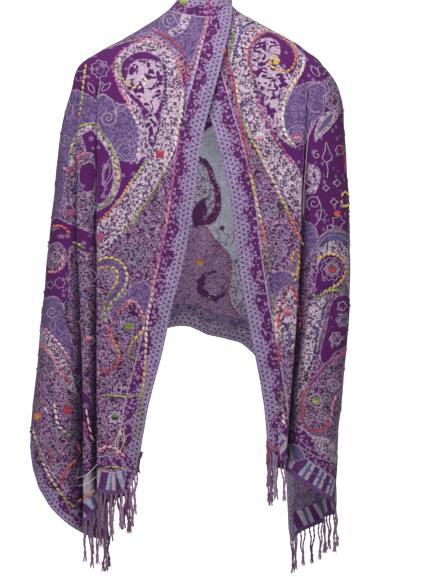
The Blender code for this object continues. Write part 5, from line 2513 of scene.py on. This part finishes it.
INSIDE_MOTIFS = (
    Motif(MA, path("272,430 348,430 348,570 272,570"), "inside"),
    Motif(MA, path("60,470 145,470 145,570 60,570"), "inside"),
    Motif(MA, path("194,222 206,226 214,238 224,248 231,258 231,276 229,292 232,306 240,316 252,324 252,350 160,350 "
                   "168,300 180,250"), "inside"),
    Motif(M, path("190,160 203,158 212,168 215,178 220,188 221,200 220,212 214,222 204,225 192,222"), "inside"),
    Motif(SI, path("190,166 202,164 208,172 210,180 214,188 215,199 213,210 206,217 196,216 190,200"), "inside"),
    Motif(M, boteh(201, 208, 22, 20), "inside"),
    Motif(SI, path("232,266 237,258 242,276 245,300 251,320 242,314 234,302 231,284"),
          "inside"),
    # A dark field at the top of the inside: painted shade inside the collar.
    Motif(M, path("203,132 208,128 214,125 221,121 219,104 210,94 203,112"), "inside"),
    Motif(M, rosette(212, 286, 32, 9, 0.05), "inside"),
    Motif(MA, rosette(216, 284, 24, 9, 0.04), "inside"),
)

LEFT_THREADS = (
    Thread(ringed(rosette(100, 69, 19, 7, 0.12))), Thread(ringed(rosette(100, 70, 9, 5, 0.12)), "mist"),
    Thread(path("100,78 100,86 98,94")), Thread(ringed(leaf(106, 87, 12, 50))),
    Thread(ringed(leaf(91, 88, 12, -30))),
    Thread(spiral(108, 118, 18, 1.8, -60)), Thread(path("97,98 104,95 112,101 116,112 116,122")),
    Thread(ringed(leaf(121, 108, 15, 60))), Thread(ringed(rosette(124, 150, 24, 9, 0.08)), "ash"),
    Thread(ringed(rosette(124, 150, 14, 7, 0.1)), "ash"), Thread(ringed(rosette(133, 143, 9, 5, 0.14)), "ash"),
    Thread(ringed(leaf(108, 172, 30, 14, 0.34))), Thread(ringed(leaf(107, 173, 20, 14, 0.28)), "ash"),
    Thread(path("106,186 104,192 101,198"), "ash"),
    Thread(spiral(170, 20, 16, 1.7, 90)), Thread(ringed(boteh(169, 21, 27, 10)), "mist"),
    Thread(ringed(leaf(146, 32, 12, 70)), "mist"), Thread(ringed(leaf(194, 30, 14, 10)), "mist"),
    Thread(ringed(rosette(75, 98, 17, 6, 0.12)), "ash"), Thread(ringed(leaf(70, 112, 15, 15)), "ash"),
    Thread(spiral(66, 140, 14, 1.6, 30), "ash"), Thread(ringed(rosette(80, 76, 12, 6, 0.14)), "ash"),
    Thread(ringed(rosette(84, 205, 26, 8, 0.1)), "ash"), Thread(ringed(rosette(84, 205, 16, 6, 0.12)), "ash"),
    Thread(spiral(109, 277, 18, 2.4, 0), "ash"), Thread(spiral(90, 277, 20, 2.0, 60), "ash"),
    Thread(ringed(rosette(57, 257, 12, 6, 0.15)), "silver"), Thread(spiral(52, 312, 12, 1.5, 40), "silver"),
    Thread(ringed(rosette(60, 283, 12, 7, 0.15)), "ash"), Thread(ringed(rosette(50, 285, 8, 5, 0.15)), "ash"),
    Thread(ringed(leaf(53, 325, 13, 10)), "ash"), Thread(ringed(rosette(128, 325, 22, 9, 0.1)), "mist"),
    Thread(ringed(rosette(128, 325, 12, 7, 0.1)), "mist"), Thread(ringed(rosette(115, 417, 22, 8, 0.12)), "silver"),
    Thread(ringed(leaf(119, 388, 11, 5, 0.6)), "silver"), Thread(ringed(leaf(120, 441, 26, 12, 0.32)), "cream"),
    Thread(ringed(rosette(108, 446, 10, 4, 0.2)), "rose"), Thread(spiral(155, 238, 14, 1.6, 0), "mist"),
    Thread(spiral(140, 262, 15, 1.6, 120, True), "mist"), Thread(ringed(rosette(152, 228, 10, 6, 0.15)), "mist"),
    Thread(ringed(rosette(134, 240, 11, 6, 0.15)), "mist"), Thread(ringed(rosette(90, 340, 10, 6, 0.15)), "mist"),
    Thread(ringed(rosette(84, 322, 11, 6, 0.15)), "ash"), Thread(ringed(rosette(50, 436, 20, 7, 0.1)), "ash"),
    Thread(ringed(rosette(62, 470, 16, 7, 0.12)), "ash"), Thread(ringed(rosette(54, 470, 9, 5, 0.12)), "ash"),
    Thread(path("77,478 84,476 92,470 97,464"), "white"), Thread(path("78,486 86,484 97,476"), "white"),
    Thread(ringed(leaf(60, 385, 18, -20)), "ash"), Thread(ringed(rosette(65, 352, 9, 5, 0.15)), "ash"),
)

RIGHT_THREADS = (
    Thread(path("308,86 306,96 308,106 314,112 320,112")), Thread(path("308,86 316,83 323,86")),
    Thread(ringed(leaf(315, 71, 14, -40))), Thread(ringed(rosette(334, 84, 14, 6, 0.05)), "ash"),
    Thread(ringed(rosette(331, 100, 18, 7, 0.1)), "ash"), Thread(ringed(rosette(322, 70, 10, 5, 0.14)), "ash"),
    Thread(ringed(rosette(297, 136, 22, 8, 0.08)), "ash"), Thread(ringed(rosette(297, 136, 12, 6, 0.1)), "ash"),
    Thread(ringed(leaf(325, 124, 30, 38, 0.4))), Thread(path("303,215 304,190 306,165 308,140 312,122"), "pale"),
    Thread(path("322,158 325,150 326,142 329,150 332,158 326,162 322,158")),
    Thread(path("326,162 328,170 327,178")), Thread(spiral(317, 155, 9, 1.2, 100, True)),
    Thread(spiral(313, 176, 22, 1.2, 60)), Thread(spiral(314, 203, 16, 1.6, 120)), Thread(path("317,196 321,206 "
                                                                                               "320,218 315,226")),
    Thread(ringed(rosette(337, 183, 8, 4, 0.22))), Thread(ringed(rosette(326, 188, 7, 4, 0.22))),
    Thread(ringed(rosette(334, 202, 8, 4, 0.22))), Thread(ringed(rosette(338, 222, 14, 5, 0.18))),
    Thread(ringed(rosette(330, 228, 8, 5, 0.2))), Thread(ringed(rosette(321, 215, 12, 6, 0.15)), "ash"),
    Thread(ringed(rosette(340, 150, 10, 6, 0.1)), "ash"), Thread(path("320,236 332,229 344,231 350,236"), "ash"),
    Thread(path("318,246 328,236 340,236 349,242"), "ash"), Thread(ringed(rosette(332, 269, 24, 10, 0.08)), "ash"),
    Thread(ringed(rosette(332, 269, 12, 7, 0.1)), "silver"), Thread(spiral(343, 320, 10, 1.4, 0), "silver"),
    Thread(ringed(rosette(336, 338, 13, 6, 0.14)), "silver"), Thread(ringed(rosette(342, 306, 10, 5, 0.14)), "silver"),
    Thread(spiral(316, 400, 16, 2.2, 20), "silver"), Thread(spiral(322, 418, 13, 1.8, 200, True), "silver"),
    Thread(spiral(334, 385, 14, 2.0, 90), "silver"), Thread(spiral(312, 416, 9, 1.6, 0), "ash"),
    Thread(spiral(326, 398, 11, 1.8, 140), "ash"), Thread(path("296,436 306,446 318,452 334,456"), "mist"),
    Thread(path("298,444 308,452 320,458 336,463"), "silver"), Thread(spiral(330, 452, 12, 1.8, 0), "mist"),
    Thread(spiral(318, 447, 9, 1.5, 180), "mist"), Thread(ringed(rosette(288, 312, 11, 6, 0.14)), "mist"),
    Thread(ringed(rosette(281, 250, 13, 7, 0.12)), "ash"), Thread(ringed(rosette(274, 213, 9, 5, 0.16)), "ash"),
    Thread(spiral(282, 232, 13, 1.6, 0), "mist"), Thread(spiral(273, 240, 10, 1.5, 180, True), "mist"),
    Thread(ringed(rosette(272, 262, 9, 5, 0.14)), "mist"), Thread(ringed(rosette(283, 372, 10, 6, 0.14)), "mist"),
    Thread(path("248,110 256,118 258,128 254,136"), "mist"), Thread(ringed(rosette(252, 60, 11, 6, 0.1)), "mist"),
    Thread(ringed(rosette(248, 84, 11, 6, 0.1)), "mist"), Thread(ringed(rosette(253, 106, 12, 6, 0.1)), "mist"),
)

INSIDE_THREADS = (
    Thread(path("222,228 225,234 230,236 226,240 227,246 222,242 217,243 220,236 217,230 222,228"), "plum"),
    Thread(path("230,246 234,238 233,232"), "plum"), Thread(ringed(leaf(218, 248, 9, 60)), "plum"),
    Thread(ringed(boteh(215, 286, 30, 60)), "plum"), Thread(ringed(rosette(224, 310, 11, 6, 0.12)), "mist"),
    Thread(ringed(rosette(206, 302, 11, 6, 0.12)), "mist"), Thread(ringed(rosette(217, 262, 10, 5, 0.14)), "mist"),
)

FRINGE_YARN = ("9a6f97", "8a5c88", "a67fa3", "74456f", "8d6390")

# Where the right end's fringe is left out, as it is tucked behind the hem.
TUCKED = ((0.128, -0.13, -0.775), (0.225, -0.02, -0.60))

# The tassels that hang from the front edges: height, drop, colour.
LONE_TASSELS = {
    "left": ((-0.672, 0.034, "4a2a4c"),),
    "right": ((-0.655, 0.038, "5a3550"), (-0.668, 0.030, "a03a52")),
}


def nested_boteh(x: float, y: float, size: float, turn: float, flip: bool, view: Viewpoint) -> tuple:
    """Gives a large boteh of three grounds, its stitched edge and its threads.

    Args:
        x: its middle, across.
        y: its middle, down.
        size: its height.
        turn: how far it is turned, in degrees.
        flip: whether it is mirrored.
        view: where it is drawn from.

    Returns:
        Its motifs, its runs and its threads.
    """
    a, way = math.radians(turn), 1.0 if flip else -1.0
    motifs, runs, threads = [], [], []
    for ground, share, drop in ((Ground.SILVER, 1.0, 0.0), (Ground.MAGENTA, 0.74, 0.09), (Ground.ACANTHUS, 0.52, 0.13)):
        spot = (x - drop * size * math.sin(a), y + drop * size * math.cos(a))
        outline = boteh(*spot, share * size, turn, flip)
        motifs.append(Motif(ground, outline, "front", view))
        if ground is Ground.MAGENTA:
            runs.append(Run(ringed(outline), "red pink cream lime navy magenta crimson red", view=view))
        if ground is Ground.SILVER:
            runs.append(Run(ringed(outline), "cream yellow olive green navy lavender pink red cream", view=view))
    side = (x + 0.46 * way * size * math.cos(a), y + 0.52 * way * size * math.sin(a))
    motifs.append(Motif(Ground.SLATE, leaf(*side, 0.5 * size, turn + 20 * way, 0.55), "front", view))
    threads.append(Thread(ringed(leaf(*side, 0.4 * size, turn + 20 * way, 0.5)), "ash", view=view))
    threads.append(Thread(spiral(*side, 0.14 * size, 2.0, turn, flip), view=view))
    threads.append(Thread(ringed(rosette(x, y + 0.18 * size, 0.16 * size, 8, 0.1)), "mist", view=view))
    runs.append(replace(cluster(x, y + 0.18 * size, 7.0, "red crimson"), view=view))
    return motifs, runs, threads


def rest_of_pattern() -> tuple[list[Motif], list[Run], list[Thread]]:
    """Gives the pattern of the sides and the back, which carry on what the front shows.

    Returns:
        Its motifs, its runs and its threads.
    """
    back, right, left = Viewpoint(180.0), Viewpoint(90.0), Viewpoint(270.0)
    motifs = [Motif(Ground.MAGENTA, path("70,70 140,30 216,44 292,30 363,70 390,200 330,250 216,236 103,250 43,200"),
                    "front", back)]
    motifs += [Motif(Ground.MAGENTA, rosette(216, y, 150, 8, 0.1), "front", view)
               for view, heights in ((right, (130, 390)), (left, (150, 400))) for y in heights]
    runs, threads = [], []
    large = [(150, 135, 165, 8, False, back), (283, 135, 165, -8, True, back), (104, 285, 96, 200, True, back),
             (330, 285, 96, -200, False, back), (216, 300, 60, 0, False, back)]
    large += [(215, y, size, turn, flip, view) for view in (right, left)
              for y, size, turn, flip in ((150, 120, 5, False), (285, 96, 185, True), (400, 100, -6, True))]
    for made in large:
        for kept, new in zip((motifs, runs, threads), nested_boteh(*made)):
            kept += new
    for view, spots in ((back, ((216, 90, 34), (216, 150, 26), (216, 205, 34), (160, 262, 24), (272, 262, 24),
                                (60, 210, 26), (373, 210, 26), (216, 262, 20))),
                        (right, ((250, 220, 22), (180, 220, 18), (190, 340, 22), (245, 345, 18), (216, 470, 24))),
                        (left, ((250, 220, 22), (180, 220, 18), (190, 340, 22), (245, 345, 18), (216, 470, 24)))):
        for x, y, size in spots:
            motifs.append(Motif(Ground.SLATE, rosette(x, y, size, 8, 0.12), "front", view))
            motifs.append(Motif(Ground.SILVER, rosette(x, y, 0.5 * size, 6, 0.14), "front", view))
            threads.append(Thread(ringed(rosette(x, y, 0.8 * size, 8, 0.12)), "silver", view=view))
            runs.append(replace(cluster(x, y, 5.0, "orange yellow"), view=view))
    return motifs, runs, threads


def main() -> None:
    """Builds the shawl and its stage, and reports each piece."""
    logging.basicConfig(level=logging.INFO, format="%(name)s: %(message)s")
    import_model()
    deselect_all()
    Studio(StudioSizes()).build()
    drape = Drape(DrapeSizes())
    log.info("the grid has %d rows and %d columns", *drape.outer.shape[:2])
    pattern = Pattern(drape)
    more_motifs, more_runs, more_threads = rest_of_pattern()
    for motif in (*more_motifs, *LEFT_MOTIFS, *RIGHT_MOTIFS, *INSIDE_MOTIFS):
        pattern.draw(motif)
    ornaments = Ornaments()
    outside = FACE.build("cloth", ornaments)
    inside = REVERSE.build("cloth_reverse", ornaments)
    cloth = Cloth(drape, pattern).build(outside, inside)
    stitching = Stitching(drape, YARN)
    for run in (*LEFT_RUNS, *RIGHT_RUNS, *INSIDE_RUNS, *more_runs):
        stitching.sew(run)
    for thread in (*LEFT_THREADS, *RIGHT_THREADS, *INSIDE_THREADS, *more_threads):
        stitching.trace(thread)
    yarn = YarnFinish().build("yarn")
    stitches = stitching.build("stitches", yarn)
    threads = stitching.build_lines("threads", yarn)
    tassels = YarnFinish(roughness=0.75, turns=260.0).build("fringe_yarn")
    hem = 0.5 * (drape.outer[-1] + drape.inner[-1])
    fringes = []
    spans = (("left", slice(0, drape.column(Side.LEFT, "corner") + 1)),
             ("right", slice(drape.column(Side.RIGHT, "corner"), None)))
    for number, (name, span) in enumerate(spans):
        fringe = Fringe(FringeSizes(), hem[span], 11 + number)
        fringe.hang([np.array(to_linear(code)) for code in FRINGE_YARN], TUCKED if name == "right" else None)
        front = drape.outer[:, 0 if name == "left" else -1]
        for height, drop, code in LONE_TASSELS[name]:
            spot = front[np.argmin(np.abs(front[:, 2] - height))]
            fringe.hang_one(spot, drop, np.array(to_linear(code)))
        fringes.append(fringe.build(f"tassels_{name}", f"fringe_{name}", tassels))
    for piece in [*cloth, stitches, threads, *fringes]:
        triangles = sum(len(f.vertices) - 2 for f in piece.data.polygons)
        log.info("%s has %d triangles", piece.name, triangles)


if __name__ == "__main__":
    main()
